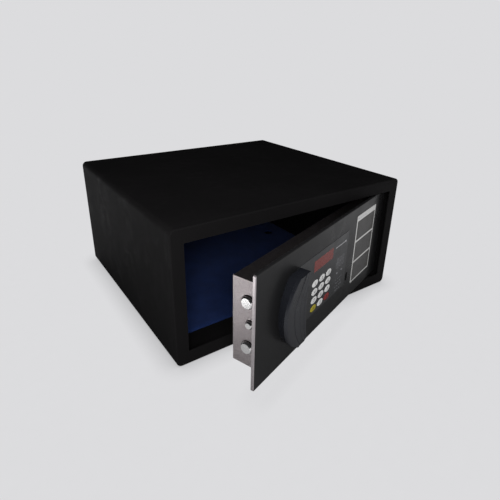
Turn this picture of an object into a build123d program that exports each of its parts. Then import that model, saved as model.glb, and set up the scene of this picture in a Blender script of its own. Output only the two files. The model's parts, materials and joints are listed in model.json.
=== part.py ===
from build123d import *
import os
from math import acos, cos, pi, radians, sin, tan

# A free-standing in-room safe: sheet-steel body, swing door on two concealed pins, motor-driven
# bolts, a recessed keypad and a crescent pull handle.  Millimetres.  +X is to the right as seen
# from the front, +Y runs from the front face into the body, +Z is up.  The origin is the centre
# of the underside.  The door is modelled shut and then swung open by REST_ANGLE.

# ------------------------------------------------------------------ body
WIDTH = 420.0            # outside, left to right
DEPTH = 380.0            # outside, front face to back
HEIGHT = 200.0           # outside, underside to top
SHEET = 2.0              # body sheet thickness
BODY_CORNER = 8.0        # outside radius of the four long corners
FRONT_EDGE = 1.9         # rounding round the front face
FRAME_DEPTH = 12.0       # depth of the front tray
SIDE_STRIP = 18.0        # frame face beside the opening
END_STRIP = 20.0         # frame face above and below the opening
OPENING_CORNER = 1.5     # inside corners of the opening

# ------------------------------------------------------------------ anchoring
BASE_PITCH_X = 320.0     # base anchor holes, left to right
BASE_PITCH_Y = 200.0     # base anchor holes, front to back
BACK_PITCH = 200.0       # two holes in the rear panel
ANCHOR_R = 5.5           # anchor hole radius

# ------------------------------------------------------------------ mat
MAT_THICK = 3.0
MAT_START = 57.0         # bare steel left in front of the mat
MAT_GAP = 2.0            # mat edge to the rear panel
MAT_HOLE_R = 10.0        # clearance round each anchor hole

# ------------------------------------------------------------------ hinge
REST_ANGLE = 18.7        # door stands open by this much
HINGE_INSET_X = 39.75    # hinge axis from the right edge of the opening
HINGE_INSET_Y = 29.5     # hinge axis behind the front face
PIN_R = 4.0
PIN_CLEAR = 0.05         # running clearance of the pins in their barrels
PIN_HEAD_R = 6.5
PIN_HEAD = 3.0
BARREL_R = 7.5
BRACKET_THICK = 3.0
BRACKET_WIDTH = 40.0
BRACKET_REACH = 12.0     # bracket beyond the hinge axis
BRACKET_FOOT = 15.0      # height of the leg welded behind the frame
WASHER_THICK = 1.7
BARREL_GAP = 0.3         # barrel to washer

# ------------------------------------------------------------------ door plate and bolt box
DOOR_GAP = 1.5           # plate to opening, all round
PLATE_THICK = 4.0
PLATE_CORNER = 2.0
PLATE_EDGE = 1.2         # rounding of the plate's front edges
BOX_SHEET = 1.5
BOX_INSET = 5.5          # bolt box behind the free edge of the plate
BOX_HINGE_INSET = 20.5   # bolt box behind the hinge edge of the plate
BOX_BELOW = 29.0         # bolt box above the plate's lower edge
BOX_ABOVE = 13.0         # bolt box below the plate's upper edge
BOX_DEPTH = 31.0         # bolt box behind the plate
FIT_GAP = 0.3            # between neighbours that must not touch
PAST = 1.0               # how far a cutter runs past the face it cuts
FACE_TOLERANCE = 0.01    # for picking the edges that lie on a face
POST_R = 4.0
POST_INSET = 8.0         # posts from the inside of the box
SCREW_R = 1.5
SCREW_HEAD_R = 3.0
SCREW_HEAD = 1.8
SCREW_LENGTH = 9.0

# ------------------------------------------------------------------ bolts
BOLT_R = 8.0
BOLT_PITCH = 61.0        # between the two bolts
BOLT_BEVEL = 1.6
BOLT_GAP = 1.5           # bolt to the plate's rear face
BOLT_SHOW = 4.5          # bolt nose proud of the box when drawn back
BOLT_TRAVEL = 15.0
BOLT_LENGTH = 67.5
BOLT_HOLE_CLEAR = 0.8
CATCH_R = 5.25           # small middle bolt
CATCH_BACK = 6.5
CATCH_RISE = 2.0         # middle bolt above the mid-height of the box
GUIDE_OFFSET = 34.0      # guide plate from the box side
GUIDE_THICK = 3.0
GUIDE_CLEAR = 0.08
GUIDE_SHORT = 1.0        # guide plate to the back cover
BAR_WIDTH = 8.0          # cross bar behind the bolts
BAR_OVERHANG = 9.5       # cross bar beyond the bolt axes
STRIKE_HOLE_CLEAR = 1.5
STRIKE_DEPTH = 32.0
STRIKE_FOOT = 14.0

# ------------------------------------------------------------------ drive
GEAR_MODULE = 1.0
GEAR_TEETH = 18
DEDENDUM = 1.25          # tooth root below the pitch line, in modules
PRESSURE_ANGLE = radians(20)
BACKLASH = 0.3
GEAR_CENTRE_EXTRA = 0.1  # added to the centre distance
GEAR_WIDTH = 4.0
GEAR_BACK = 19.0         # front face of the gears behind the plate's rear face
GEAR_PITCHES_APART = 30  # tooth pitches from the key gear to the motor gear
RACK_DEEP = 6.0          # rack bar beyond its tooth roots
MOTOR_SHAFT_R = 1.5
MOTOR_SHAFT_IN = 7.0     # shaft inside the gearbox
SHAFT_END_GAP = 0.5      # shaft end to the floor of its bore
GEARBOX_WIDE = 24.0
GEARBOX_DEEP = 11.0
MOTOR_LENGTH = 26.0
MOTOR_RISE = 1.0         # motor axis above the middle of the gearbox

# ------------------------------------------------------------------ lock
LOCK_X = 56.7            # key lock from the centre of the door
LOCK_Z = 45.5            # key lock above the plate's lower edge
LOCK_BODY_R = 8.0
LOCK_END_GAP = 1.0       # lock body to the key gear
PLUG_R = 5.5
PLUG_CLEAR = 0.08
PLUG_RECESS = 2.0        # plug face behind the plate's front face
KEYHOLE_WIDE = 8.0
KEYHOLE_TALL = 15.0
KEYWAY_WIDE = 2.0
KEYWAY_TALL = 6.0
KEYWAY_DEEP = 12.0
TAIL_R = 3.0             # tail of the plug through its gear

# ------------------------------------------------------------------ fascia, display and keys
FASCIA_LEFT = -104.0     # window edges from the centre of the door
FASCIA_RIGHT = 48.4
FASCIA_LOW = 34.5        # window edges from the plate's lower edge
FASCIA_HIGH = 128.4
FASCIA_GAP = 0.4
FASCIA_RECESS = 1.0
FASCIA_SKIN = 2.0
FASCIA_WALL = 1.5
FASCIA_LIP = 3.5         # lip behind the plate, above and below
FASCIA_LIP_THICK = 1.5
KEY_WIDE = 16.4
KEY_TALL = 9.4
KEY_PITCH_X = 20.0
KEY_PITCH_Z = 13.3
KEY_FIRST_X = -50.6      # left column from the centre of the door
KEY_FIRST_Z = 82.7       # top row above the plate's lower edge
KEY_COLUMNS = 3
KEY_ROWS = 4
KEY_CLEAR = 0.35
KEY_PROUD = 1.3          # key face in front of the fascia
KEY_EDGE = 0.6
KEY_FLANGE = 0.9         # flange wider than the hole, each side
KEY_FLANGE_THICK = 1.0
KEY_STEM_R = 2.5
KEY_STEM = 1.7
SWITCH_R = 3.0
SWITCH_THICK = 0.7
DISPLAY_WIDE = 56.0
DISPLAY_TALL = 17.0
DISPLAY_X = -29.2
DISPLAY_Z = 110.0        # above the plate's lower edge
DISPLAY_GAP = 0.2
BOARD_BACK = 4.0         # board front face behind the plate's rear face
BOARD_THICK = 1.6
BOARD_LEFT = -84.0
BOARD_RIGHT = 44.0
BOARD_LOW = 33.0
BOARD_HIGH = 124.0
BOARD_SCREW_R = 1.25
BOARD_SCREW_HEAD_R = 2.5
BOARD_SCREW_HEAD = 1.0
BOARD_SCREW_SHORT = 1.0  # screw tip from the floor of its boss
BOSS_R = 3.0
BOSS_INSET = 5.0

# ------------------------------------------------------------------ handle and label
HANDLE_LOW = 24.0        # from the plate's lower edge
HANDLE_HIGH = 126.0
HANDLE_OUT = 15.0
HANDLE_TOP_LEFT = -121.0
HANDLE_TOP_RIGHT = -95.0
HANDLE_LEFT = -142.5     # furthest left, on the plate
HANDLE_FLARE = 4.5       # furthest left again, at the grip's face
HANDLE_RIGHT = -98.5
HANDLE_LOW_LEFT = -117.0
HANDLE_LOW_RIGHT = -93.0
HANDLE_TOE = 6.0
HANDLE_EDGE = 0.8
HANDLE_SCREW_R = 2.0
HANDLE_SCREW_HEAD_R = 3.5
HANDLE_SCREW_LENGTH = 12.0
HANDLE_SCREW_X = -113.0
LABEL_LEFT = 75.8
LABEL_RIGHT = 150.8
LABEL_LOW = 24.2
LABEL_HIGH = 141.5
LABEL_THICK = 0.4

# ------------------------------------------------------------------ batteries
CELL_R = 7.1
CELL_LENGTH = 50.0
CELL_COUNT = 4
CELL_GAP = 0.6
HOLDER_WALL = 1.2
HOLDER_X = 108.0
HOLDER_LOW = 72.0        # from the plate's lower edge
HOLDER_CLEAR = 1.0

# ------------------------------------------------------------------ derived places
FRONT = -DEPTH / 2
BACK = DEPTH / 2
OPEN_LEFT = -WIDTH / 2 + SIDE_STRIP
OPEN_RIGHT = WIDTH / 2 - SIDE_STRIP
OPEN_LOW = END_STRIP
OPEN_HIGH = HEIGHT - END_STRIP
HINGE_X = OPEN_RIGHT - HINGE_INSET_X
HINGE_Y = FRONT + HINGE_INSET_Y

PLATE_LEFT = OPEN_LEFT + DOOR_GAP
PLATE_RIGHT = OPEN_RIGHT - DOOR_GAP
PLATE_LOW = OPEN_LOW + DOOR_GAP
PLATE_HIGH = OPEN_HIGH - DOOR_GAP
PLATE_REAR = FRONT + PLATE_THICK

BOX_LEFT = PLATE_LEFT + BOX_INSET
BOX_RIGHT = PLATE_RIGHT - BOX_HINGE_INSET
BOX_LOW = PLATE_LOW + BOX_BELOW
BOX_HIGH = PLATE_HIGH - BOX_ABOVE
BOX_REAR = PLATE_REAR + BOX_DEPTH
BOX_MID_Z = (BOX_LOW + BOX_HIGH) / 2
COVER_FRONT = BOX_REAR - BOX_SHEET

BOLT_Y = PLATE_REAR + BOLT_GAP + BOLT_R
CATCH_Y = PLATE_REAR + CATCH_BACK
CATCH_Z = BOX_MID_Z + CATCH_RISE
BOLT_HEIGHTS = (BOX_MID_Z - BOLT_PITCH / 2, BOX_MID_Z + BOLT_PITCH / 2)
BOLT_TIP_X = BOX_LEFT - BOLT_SHOW
BAR_LEFT = BOLT_TIP_X + BOLT_LENGTH
GUIDE_X = BOX_LEFT + GUIDE_OFFSET

GEAR_RADIUS = GEAR_MODULE * GEAR_TEETH / 2
TOOTH_PITCH = pi * GEAR_MODULE
GEAR_Y = PLATE_REAR + GEAR_BACK
LOCK_HEIGHT = PLATE_LOW + LOCK_Z
MOTOR_X = LOCK_X - GEAR_PITCHES_APART * TOOTH_PITCH
RACK_LINE = LOCK_HEIGHT + GEAR_RADIUS + GEAR_CENTRE_EXTRA

FASCIA_FRONT = FRONT + FASCIA_RECESS
FASCIA_REAR = FASCIA_FRONT + FASCIA_SKIN
BOARD_FRONT = PLATE_REAR + BOARD_BACK


# ------------------------------------------------------------------ helpers
def block(x0, x1, y0, y1, z0, z1):
    """Box between two corners."""
    centre = Pos((x0 + x1) / 2, (y0 + y1) / 2, (z0 + z1) / 2)
    return centre * Box(x1 - x0, y1 - y0, z1 - z0)


def rod_x(radius, x0, x1, y, z):
    """Round bar along X."""
    return Pos((x0 + x1) / 2, y, z) * Rot(0, 90, 0) * Cylinder(radius, x1 - x0)


def rod_y(radius, y0, y1, x, z):
    """Round bar along Y."""
    return Pos(x, (y0 + y1) / 2, z) * Rot(90, 0, 0) * Cylinder(radius, y1 - y0)


def rod_z(radius, z0, z1, x, y):
    """Round bar along Z."""
    return Pos(x, y, (z0 + z1) / 2) * Cylinder(radius, z1 - z0)


def front_plane(y):
    """Sketch plane facing the front: sketch x is +X, sketch y is +Z."""
    return Plane(origin=(0, y, 0), x_dir=(1, 0, 0), z_dir=(0, -1, 0))


def upright_slab(sketch, y0, y1):
    """Extrude a front-facing sketch from y0 back to y1."""
    return extrude(front_plane(y1) * sketch, y1 - y0)


def rounded_slab(x0, x1, y0, y1, z0, z1, radius):
    """Slab facing the front with four rounded corners."""
    outline = Pos((x0 + x1) / 2, (z0 + z1) / 2) * RectangleRounded(x1 - x0, z1 - z0, radius)
    return upright_slab(outline, y0, y1)


def front_edges(part, y):
    """Edges of a part that lie in the plane at y."""
    return part.edges().filter_by_position(Axis.Y, y - FACE_TOLERANCE, y + FACE_TOLERANCE)


def hang(part):
    """Swing a door piece from shut to the rest angle about the hinge axis."""
    return Pos(HINGE_X, HINGE_Y, 0) * Rot(0, 0, REST_ANGLE) * Pos(-HINGE_X, -HINGE_Y, 0) * part


def anchor_places():
    """Centres of the base anchor holes."""
    return [(sx * BASE_PITCH_X / 2, sy * BASE_PITCH_Y / 2) for sx in (-1, 1) for sy in (-1, 1)]


# ------------------------------------------------------------------ body pieces
def front_frame():
    """Shallow pressed tray with the door opening cut in its face."""
    y1 = FRONT + FRAME_DEPTH
    tray = rounded_slab(-WIDTH / 2, WIDTH / 2, FRONT, y1, 0, HEIGHT, BODY_CORNER)
    tray = fillet(front_edges(tray, FRONT), FRONT_EDGE)
    inside = WIDTH / 2 - SHEET
    hollow = rounded_slab(-inside, inside, FRONT + SHEET, y1, SHEET, HEIGHT - SHEET,
                          BODY_CORNER - SHEET)
    mouth = rounded_slab(OPEN_LEFT, OPEN_RIGHT, FRONT - PAST, y1, OPEN_LOW, OPEN_HIGH, OPENING_CORNER)
    return tray - hollow - mouth


def body_shell():
    """Wrapped tube of sheet behind the front tray, open at both ends."""
    y0 = FRONT + FRAME_DEPTH
    tube = rounded_slab(-WIDTH / 2, WIDTH / 2, y0, BACK, 0, HEIGHT, BODY_CORNER)
    inside = WIDTH / 2 - SHEET
    tube -= rounded_slab(-inside, inside, y0, BACK, SHEET, HEIGHT - SHEET, BODY_CORNER - SHEET)
    for x, y in anchor_places():
        tube -= rod_z(ANCHOR_R, -PAST, SHEET + PAST, x, y)
    return tube


def rear_panel():
    """Panel welded inside the back end of the tube."""
    inside = WIDTH / 2 - SHEET
    panel = rounded_slab(-inside, inside, BACK - SHEET, BACK, SHEET, HEIGHT - SHEET,
                         BODY_CORNER - SHEET)
    for side in (-1, 1):
        panel -= rod_y(ANCHOR_R, BACK - SHEET - PAST, BACK + PAST, side * BACK_PITCH / 2, HEIGHT / 2)
    return panel


def strike_plate():
    """Angle behind the free side of the opening, with a hole for each bolt."""
    low = OPEN_LOW + DOOR_GAP
    high = OPEN_HIGH - DOOR_GAP
    y0 = FRONT + SHEET
    angle = block(OPEN_LEFT - SHEET, OPEN_LEFT, y0, y0 + STRIKE_DEPTH, low, high)
    angle += block(OPEN_LEFT - STRIKE_FOOT, OPEN_LEFT, y0, y0 + SHEET, low, high)
    for z in BOLT_HEIGHTS:
        angle -= rod_x(BOLT_R + STRIKE_HOLE_CLEAR, OPEN_LEFT - SHEET - PAST, OPEN_LEFT + PAST, BOLT_Y, z)
    angle -= rod_x(CATCH_R + STRIKE_HOLE_CLEAR, OPEN_LEFT - SHEET - PAST, OPEN_LEFT + PAST,
                   CATCH_Y, CATCH_Z)
    return angle


def hinge_bracket(edge, outward):
    """Angle behind the frame: edge is the opening's edge height, outward is +1 up or -1 down."""
    z_ledge = sorted((edge, edge + outward * BRACKET_THICK))
    z_foot = sorted((edge, edge + outward * BRACKET_FOOT))
    y0 = FRONT + SHEET
    x0 = HINGE_X - BRACKET_WIDTH / 2
    x1 = HINGE_X + BRACKET_WIDTH / 2
    bracket = block(x0, x1, y0, HINGE_Y + BRACKET_REACH, *z_ledge)
    bracket += block(x0, x1, y0, y0 + BRACKET_THICK, *z_foot)
    return bracket - rod_z(PIN_R, z_ledge[0] - PAST, z_ledge[1] + PAST, HINGE_X, HINGE_Y)


def hinge_pin(edge, outward, tip):
    """Headed pin pressed through a bracket; tip is the height of its free end."""
    seat = edge + outward * BRACKET_THICK
    z_head = sorted((seat, seat + outward * PIN_HEAD))
    pin = rod_z(PIN_R, *sorted((seat, tip)), HINGE_X, HINGE_Y)
    return pin + rod_z(PIN_HEAD_R, *z_head, HINGE_X, HINGE_Y)


def hinge_washer():
    """Thrust washer that carries the door on the lower bracket."""
    washer = rod_z(BARREL_R, OPEN_LOW, OPEN_LOW + WASHER_THICK, HINGE_X, HINGE_Y)
    return washer - rod_z(PIN_R, OPEN_LOW - PAST, OPEN_LOW + WASHER_THICK + PAST, HINGE_X, HINGE_Y)


def floor_mat():
    """Carpet mat laid on the floor, cut away round the anchor holes."""
    half = WIDTH / 2 - BODY_CORNER
    mat = block(-half, half, FRONT + MAT_START, BACK - SHEET - MAT_GAP, SHEET, SHEET + MAT_THICK)
    for x, y in anchor_places():
        mat -= rod_z(MAT_HOLE_R, SHEET - PAST, SHEET + MAT_THICK + PAST, x, y)
    return mat


# ------------------------------------------------------------------ door shell
def keyhole_sketch(grow=0.0):
    """Upright oval round the key lock."""
    return Pos(LOCK_X, LOCK_HEIGHT) * SlotOverall(
        KEYHOLE_TALL + 2 * grow, KEYHOLE_WIDE + 2 * grow, rotation=90)


def handle_screw_heights():
    """Two screws, a quarter of the handle's height in from each end."""
    span = HANDLE_HIGH - HANDLE_LOW
    return [PLATE_LOW + HANDLE_LOW + share * span for share in (0.25, 0.75)]


def door_plate():
    """Thick front plate with the fascia window, keyhole and handle screw holes."""
    plate = rounded_slab(PLATE_LEFT, PLATE_RIGHT, FRONT, PLATE_REAR, PLATE_LOW, PLATE_HIGH,
                         PLATE_CORNER)
    plate = fillet(front_edges(plate, FRONT), PLATE_EDGE)
    plate -= rounded_slab(FASCIA_LEFT, FASCIA_RIGHT, FRONT - PAST, PLATE_REAR + PAST,
                          PLATE_LOW + FASCIA_LOW, PLATE_LOW + FASCIA_HIGH, PLATE_CORNER)
    plate -= upright_slab(keyhole_sketch(), FRONT - PAST, PLATE_REAR + PAST)
    for z in handle_screw_heights():
        plate -= rod_y(HANDLE_SCREW_R, FRONT - PAST, PLATE_REAR + PAST, HANDLE_SCREW_X, z)
    return plate


def bolt_box():
    """Four-sided folded box welded behind the plate."""
    box = block(BOX_LEFT, BOX_RIGHT, PLATE_REAR, BOX_REAR, BOX_LOW, BOX_HIGH)
    box -= block(BOX_LEFT + BOX_SHEET, BOX_RIGHT - BOX_SHEET, PLATE_REAR - PAST, BOX_REAR + PAST,
                 BOX_LOW + BOX_SHEET, BOX_HIGH - BOX_SHEET)
    for z in BOLT_HEIGHTS:
        box -= rod_x(BOLT_R + BOLT_HOLE_CLEAR, BOX_LEFT - PAST, BOX_LEFT + BOX_SHEET + PAST, BOLT_Y, z)
    box -= rod_x(CATCH_R + BOLT_HOLE_CLEAR, BOX_LEFT - PAST, BOX_LEFT + BOX_SHEET + PAST,
                 CATCH_Y, CATCH_Z)
    return box


def post_places():
    """Centres of the four posts that hold the back cover."""
    inset = BOX_SHEET + POST_INSET
    return [(x, z) for x in (BOX_LEFT + inset, BOX_RIGHT - inset)
            for z in (BOX_LOW + inset, BOX_HIGH - inset)]


def cover_posts():
    """Tapped posts from the door plate back to the cover."""
    posts = []
    for x, z in post_places():
        post = rod_y(POST_R, PLATE_REAR, COVER_FRONT, x, z)
        posts.append(post - rod_y(SCREW_R, COVER_FRONT - SCREW_LENGTH, COVER_FRONT, x, z))
    return Compound(posts)


def cover_screws():
    """Pan-head screws through the back cover into the posts."""
    screws = []
    for x, z in post_places():
        shank = rod_y(SCREW_R, BOX_REAR - SCREW_LENGTH, BOX_REAR, x, z)
        screws.append(shank + rod_y(SCREW_HEAD_R, BOX_REAR, BOX_REAR + SCREW_HEAD, x, z))
    return Compound(screws)


def battery_bay():
    """Left, right, low and high edges of the battery bay."""
    half = (CELL_COUNT * (2 * CELL_R + CELL_GAP) + CELL_GAP) / 2 + HOLDER_WALL
    low = PLATE_LOW + HOLDER_LOW
    return HOLDER_X - half, HOLDER_X + half, low, low + CELL_LENGTH + 2 * (HOLDER_WALL + CELL_GAP)


def back_cover():
    """Flat cover inside the back of the box, with the battery opening."""
    edge = BOX_SHEET + FIT_GAP
    cover = block(BOX_LEFT + edge, BOX_RIGHT - edge, COVER_FRONT, BOX_REAR, BOX_LOW + edge,
                  BOX_HIGH - edge)
    left, right, low, high = battery_bay()
    cover -= block(left, right, COVER_FRONT - PAST, BOX_REAR + PAST, low, high)
    for x, z in post_places():
        cover -= rod_y(SCREW_R, COVER_FRONT - PAST, BOX_REAR + PAST, x, z)
    return cover


def hinge_barrel(z0, z1):
    """Tube welded to the box, turning on its pin."""
    barrel = rod_z(BARREL_R, z0, z1, HINGE_X, HINGE_Y)
    return barrel - rod_z(PIN_R + PIN_CLEAR, z0 - PAST, z1 + PAST, HINGE_X, HINGE_Y)


# ------------------------------------------------------------------ handle and label
def handle_outline(flare):
    """Crescent outline: straight top, bowed left and right sides, rounded toe."""
    low = PLATE_LOW + HANDLE_LOW
    high = PLATE_LOW + HANDLE_HIGH
    middle = (low + high) / 2
    toe = HANDLE_TOE
    top = Line((HANDLE_TOP_LEFT, high), (HANDLE_TOP_RIGHT, high))
    right = ThreePointArc((HANDLE_TOP_RIGHT, high), (HANDLE_RIGHT, middle),
                          (HANDLE_LOW_RIGHT, low + toe))
    round_toe = TangentArc((HANDLE_LOW_RIGHT, low + toe), (HANDLE_LOW_RIGHT - toe, low),
                           tangent=right % 1)
    base = Line(round_toe @ 1, (HANDLE_LOW_LEFT, low))
    left = ThreePointArc((HANDLE_LOW_LEFT, low), (HANDLE_LEFT - flare, middle),
                         (HANDLE_TOP_LEFT, high))
    return make_face([top, right, round_toe, base, left])


def pull_handle():
    """Crescent grip that flares outward from the plate, with two blind screw holes."""
    foot = front_plane(FRONT) * handle_outline(0)
    face = front_plane(FRONT - HANDLE_OUT) * handle_outline(HANDLE_FLARE)
    grip = loft([foot, face], ruled=True)
    grip = fillet(front_edges(grip, FRONT - HANDLE_OUT), HANDLE_EDGE)
    for z in handle_screw_heights():
        grip -= rod_y(HANDLE_SCREW_R, FRONT - HANDLE_SCREW_LENGTH, FRONT + PAST, HANDLE_SCREW_X, z)
    return grip


def handle_screws():
    """Two screws from behind the plate into the handle."""
    tip = PLATE_REAR - HANDLE_SCREW_LENGTH
    screws = []
    for z in handle_screw_heights():
        shank = rod_y(HANDLE_SCREW_R, tip, PLATE_REAR, HANDLE_SCREW_X, z)
        head = rod_y(HANDLE_SCREW_HEAD_R, PLATE_REAR, PLATE_REAR + SCREW_HEAD, HANDLE_SCREW_X, z)
        screws.append(shank + head)
    return Compound(screws)


def instruction_label():
    """Thin plate label on the hinge side of the door."""
    return block(LABEL_LEFT, LABEL_RIGHT, FRONT - LABEL_THICK, FRONT, PLATE_LOW + LABEL_LOW,
                 PLATE_LOW + LABEL_HIGH)


# ------------------------------------------------------------------ keypad
def key_places():
    """Key centres, row by row from the top left."""
    top = PLATE_LOW + KEY_FIRST_Z
    return [(KEY_FIRST_X + column * KEY_PITCH_X, top - row * KEY_PITCH_Z)
            for row in range(KEY_ROWS) for column in range(KEY_COLUMNS)]


def oval(x, z, grow=0.0):
    """Oval key outline, optionally larger all round."""
    return Pos(x, z) * Ellipse(KEY_WIDE / 2 + grow, KEY_TALL / 2 + grow)


def fascia_bosses():
    """Centres of the four bosses that carry the board."""
    return [(x, z) for x in (BOARD_LEFT + BOSS_INSET, BOARD_RIGHT - BOSS_INSET)
            for z in (PLATE_LOW + BOARD_LOW + BOSS_INSET, PLATE_LOW + BOARD_HIGH - BOSS_INSET)]


def display_slab(y0, y1, grow=0.0):
    """Slab the size of the display window."""
    z = PLATE_LOW + DISPLAY_Z
    half_x = DISPLAY_WIDE / 2 + grow
    half_z = DISPLAY_TALL / 2 + grow
    return block(DISPLAY_X - half_x, DISPLAY_X + half_x, y0, y1, z - half_z, z + half_z)


def keypad_fascia():
    """Moulded fascia in the plate's window, lipped behind it above and below."""
    left = FASCIA_LEFT + FASCIA_GAP
    right = FASCIA_RIGHT - FASCIA_GAP
    low = PLATE_LOW + FASCIA_LOW
    high = PLATE_LOW + FASCIA_HIGH
    lip_rear = PLATE_REAR + FASCIA_LIP_THICK
    body = rounded_slab(left, right, FASCIA_FRONT, lip_rear, low + FASCIA_GAP, high - FASCIA_GAP,
                        PLATE_CORNER)
    body += block(left + PLATE_CORNER, right - PLATE_CORNER, PLATE_REAR, lip_rear,
                  low - FASCIA_LIP, high + FASCIA_LIP)
    wall = FASCIA_WALL + FASCIA_GAP
    body -= block(left + FASCIA_WALL, right - FASCIA_WALL, FASCIA_REAR, lip_rear + PAST, low + wall,
                  high - wall)
    for x, z in fascia_bosses():
        body += rod_y(BOSS_R, FASCIA_REAR, BOARD_FRONT, x, z)
        body -= rod_y(BOARD_SCREW_R, FASCIA_REAR, BOARD_FRONT + PAST, x, z)
    for x, z in key_places():
        body -= upright_slab(oval(x, z, KEY_CLEAR), FASCIA_FRONT - PAST, FASCIA_REAR + PAST)
    return body - display_slab(FASCIA_FRONT - PAST, FASCIA_REAR + PAST)


def key(x, z):
    """Oval key: crowned cap, retaining flange and stem."""
    face = FASCIA_FRONT - KEY_PROUD
    flange = FASCIA_REAR + FIT_GAP
    cap = upright_slab(oval(x, z), face, flange)
    cap = fillet(front_edges(cap, face), KEY_EDGE)
    cap += upright_slab(oval(x, z, KEY_CLEAR + KEY_FLANGE), flange, flange + KEY_FLANGE_THICK)
    stem_start = flange + KEY_FLANGE_THICK
    return cap + rod_y(KEY_STEM_R, stem_start, stem_start + KEY_STEM, x, z)


def display_window():
    """Tinted lens set into the fascia."""
    return display_slab(FASCIA_FRONT, FASCIA_REAR)


def display_module():
    """Digit display behind the lens, standing on the board."""
    return display_slab(FASCIA_REAR + DISPLAY_GAP, BOARD_FRONT, -1)


def control_board():
    """Circuit board behind the keys."""
    board = block(BOARD_LEFT, BOARD_RIGHT, BOARD_FRONT, BOARD_FRONT + BOARD_THICK,
                  PLATE_LOW + BOARD_LOW, PLATE_LOW + BOARD_HIGH)
    for x, z in fascia_bosses():
        board -= rod_y(BOARD_SCREW_R, BOARD_FRONT - PAST, BOARD_FRONT + BOARD_THICK + PAST, x, z)
    return board


def board_screws():
    """Four small screws through the board into the fascia bosses."""
    rear = BOARD_FRONT + BOARD_THICK
    screws = []
    for x, z in fascia_bosses():
        shank = rod_y(BOARD_SCREW_R, FASCIA_REAR + BOARD_SCREW_SHORT, rear, x, z)
        head = rod_y(BOARD_SCREW_HEAD_R, rear, rear + BOARD_SCREW_HEAD, x, z)
        screws.append(shank + head)
    return Compound(screws)


def key_switches():
    """One dome switch on the board under each key."""
    return Compound([rod_y(SWITCH_R, BOARD_FRONT - SWITCH_THICK, BOARD_FRONT, x, z)
                     for x, z in key_places()])


# ------------------------------------------------------------------ bolts and drive
def bolt(radius, y, z):
    """Round bolt with a bevelled nose."""
    bar = rod_x(radius, BOLT_TIP_X, BAR_LEFT, y, z)
    nose = bar.edges().filter_by_position(Axis.X, BOLT_TIP_X - 0.01, BOLT_TIP_X + 0.01)
    return chamfer(nose, BOLT_BEVEL)


def bolt_guide():
    """Upright guide plate welded across the box, bored for the bolts."""
    guide = block(GUIDE_X, GUIDE_X + GUIDE_THICK, PLATE_REAR, COVER_FRONT - GUIDE_SHORT,
                  BOX_LOW + BOX_SHEET, BOX_HIGH - BOX_SHEET)
    for z in BOLT_HEIGHTS:
        guide -= rod_x(BOLT_R + GUIDE_CLEAR, GUIDE_X - PAST, GUIDE_X + GUIDE_THICK + PAST, BOLT_Y, z)
    guide -= rod_x(CATCH_R + GUIDE_CLEAR, GUIDE_X - PAST, GUIDE_X + GUIDE_THICK + PAST, CATCH_Y, CATCH_Z)
    return guide


def rack_tooth(x):
    """One straight-sided rack tooth pointing down at x."""
    half = TOOTH_PITCH / 4 - BACKLASH / 2
    slope = tan(PRESSURE_ANGLE)
    tip = half - GEAR_MODULE * slope
    root = half + DEDENDUM * GEAR_MODULE * slope
    low = RACK_LINE - GEAR_MODULE
    high = RACK_LINE + DEDENDUM * GEAR_MODULE
    outline = Polyline((x - root, high), (x - tip, low), (x + tip, low), (x + root, high),
                       close=True)
    return upright_slab(make_face(outline), GEAR_Y, GEAR_Y + GEAR_WIDTH)


def bolt_slide():
    """Cross bar behind the bolts with the toothed rack that both gears drive."""
    low, high = BOLT_HEIGHTS
    rear = GEAR_Y + GEAR_WIDTH
    rack_low = RACK_LINE + DEDENDUM * GEAR_MODULE
    slide = block(BAR_LEFT, BAR_LEFT + BAR_WIDTH, PLATE_REAR + CATCH_BACK, rear,
                  min(low - BAR_OVERHANG, rack_low), high + BAR_OVERHANG)
    reach = BOLT_TRAVEL + 4 * TOOTH_PITCH
    slide += block(BAR_LEFT, LOCK_X + reach, GEAR_Y, rear, rack_low, rack_low + RACK_DEEP)
    for gear_x in (MOTOR_X, LOCK_X):
        for step in range(-3, int(reach / TOOTH_PITCH)):
            slide += rack_tooth(gear_x + step * TOOTH_PITCH)
    return slide


def flank_angle(radius):
    """Half the angle that a gear tooth fills at a radius."""
    base = GEAR_RADIUS * cos(PRESSURE_ANGLE)
    at_pitch = pi / (2 * GEAR_TEETH) - BACKLASH / (2 * GEAR_RADIUS)
    local = acos(min(1.0, base / radius))
    return at_pitch + (tan(PRESSURE_ANGLE) - PRESSURE_ANGLE) - (tan(local) - local)


def gear_sketch():
    """Involute gear outline with a tooth gap pointing straight up."""
    root = GEAR_RADIUS - DEDENDUM * GEAR_MODULE
    base = GEAR_RADIUS * cos(PRESSURE_ANGLE)
    tip = GEAR_RADIUS + GEAR_MODULE
    radii = [root, base, (base + GEAR_RADIUS) / 2, (GEAR_RADIUS + tip) / 2, tip]
    points = []
    for tooth in range(GEAR_TEETH):
        middle = pi / 2 - (tooth + 0.5) * 2 * pi / GEAR_TEETH
        rising = [(r, middle + flank_angle(r)) for r in radii]
        falling = [(r, middle - flank_angle(r)) for r in reversed(radii)]
        points += [(r * cos(a), r * sin(a)) for r, a in rising + falling]
    return make_face(Polyline(*points, close=True))


def gear_at(x):
    """Gear behind the board at x, in mesh with the rack."""
    return upright_slab(Pos(x, LOCK_HEIGHT) * gear_sketch(), GEAR_Y, GEAR_Y + GEAR_WIDTH)


def motor_gear():
    """Gear on the motor's output shaft."""
    gear = gear_at(MOTOR_X)
    return gear - rod_y(MOTOR_SHAFT_R, GEAR_Y - PAST, GEAR_Y + GEAR_WIDTH + PAST, MOTOR_X, LOCK_HEIGHT)


def motor_shaft():
    """Output shaft that carries the motor gear."""
    return rod_y(MOTOR_SHAFT_R, GEAR_Y - MOTOR_SHAFT_IN, GEAR_Y + GEAR_WIDTH, MOTOR_X, LOCK_HEIGHT)


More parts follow.
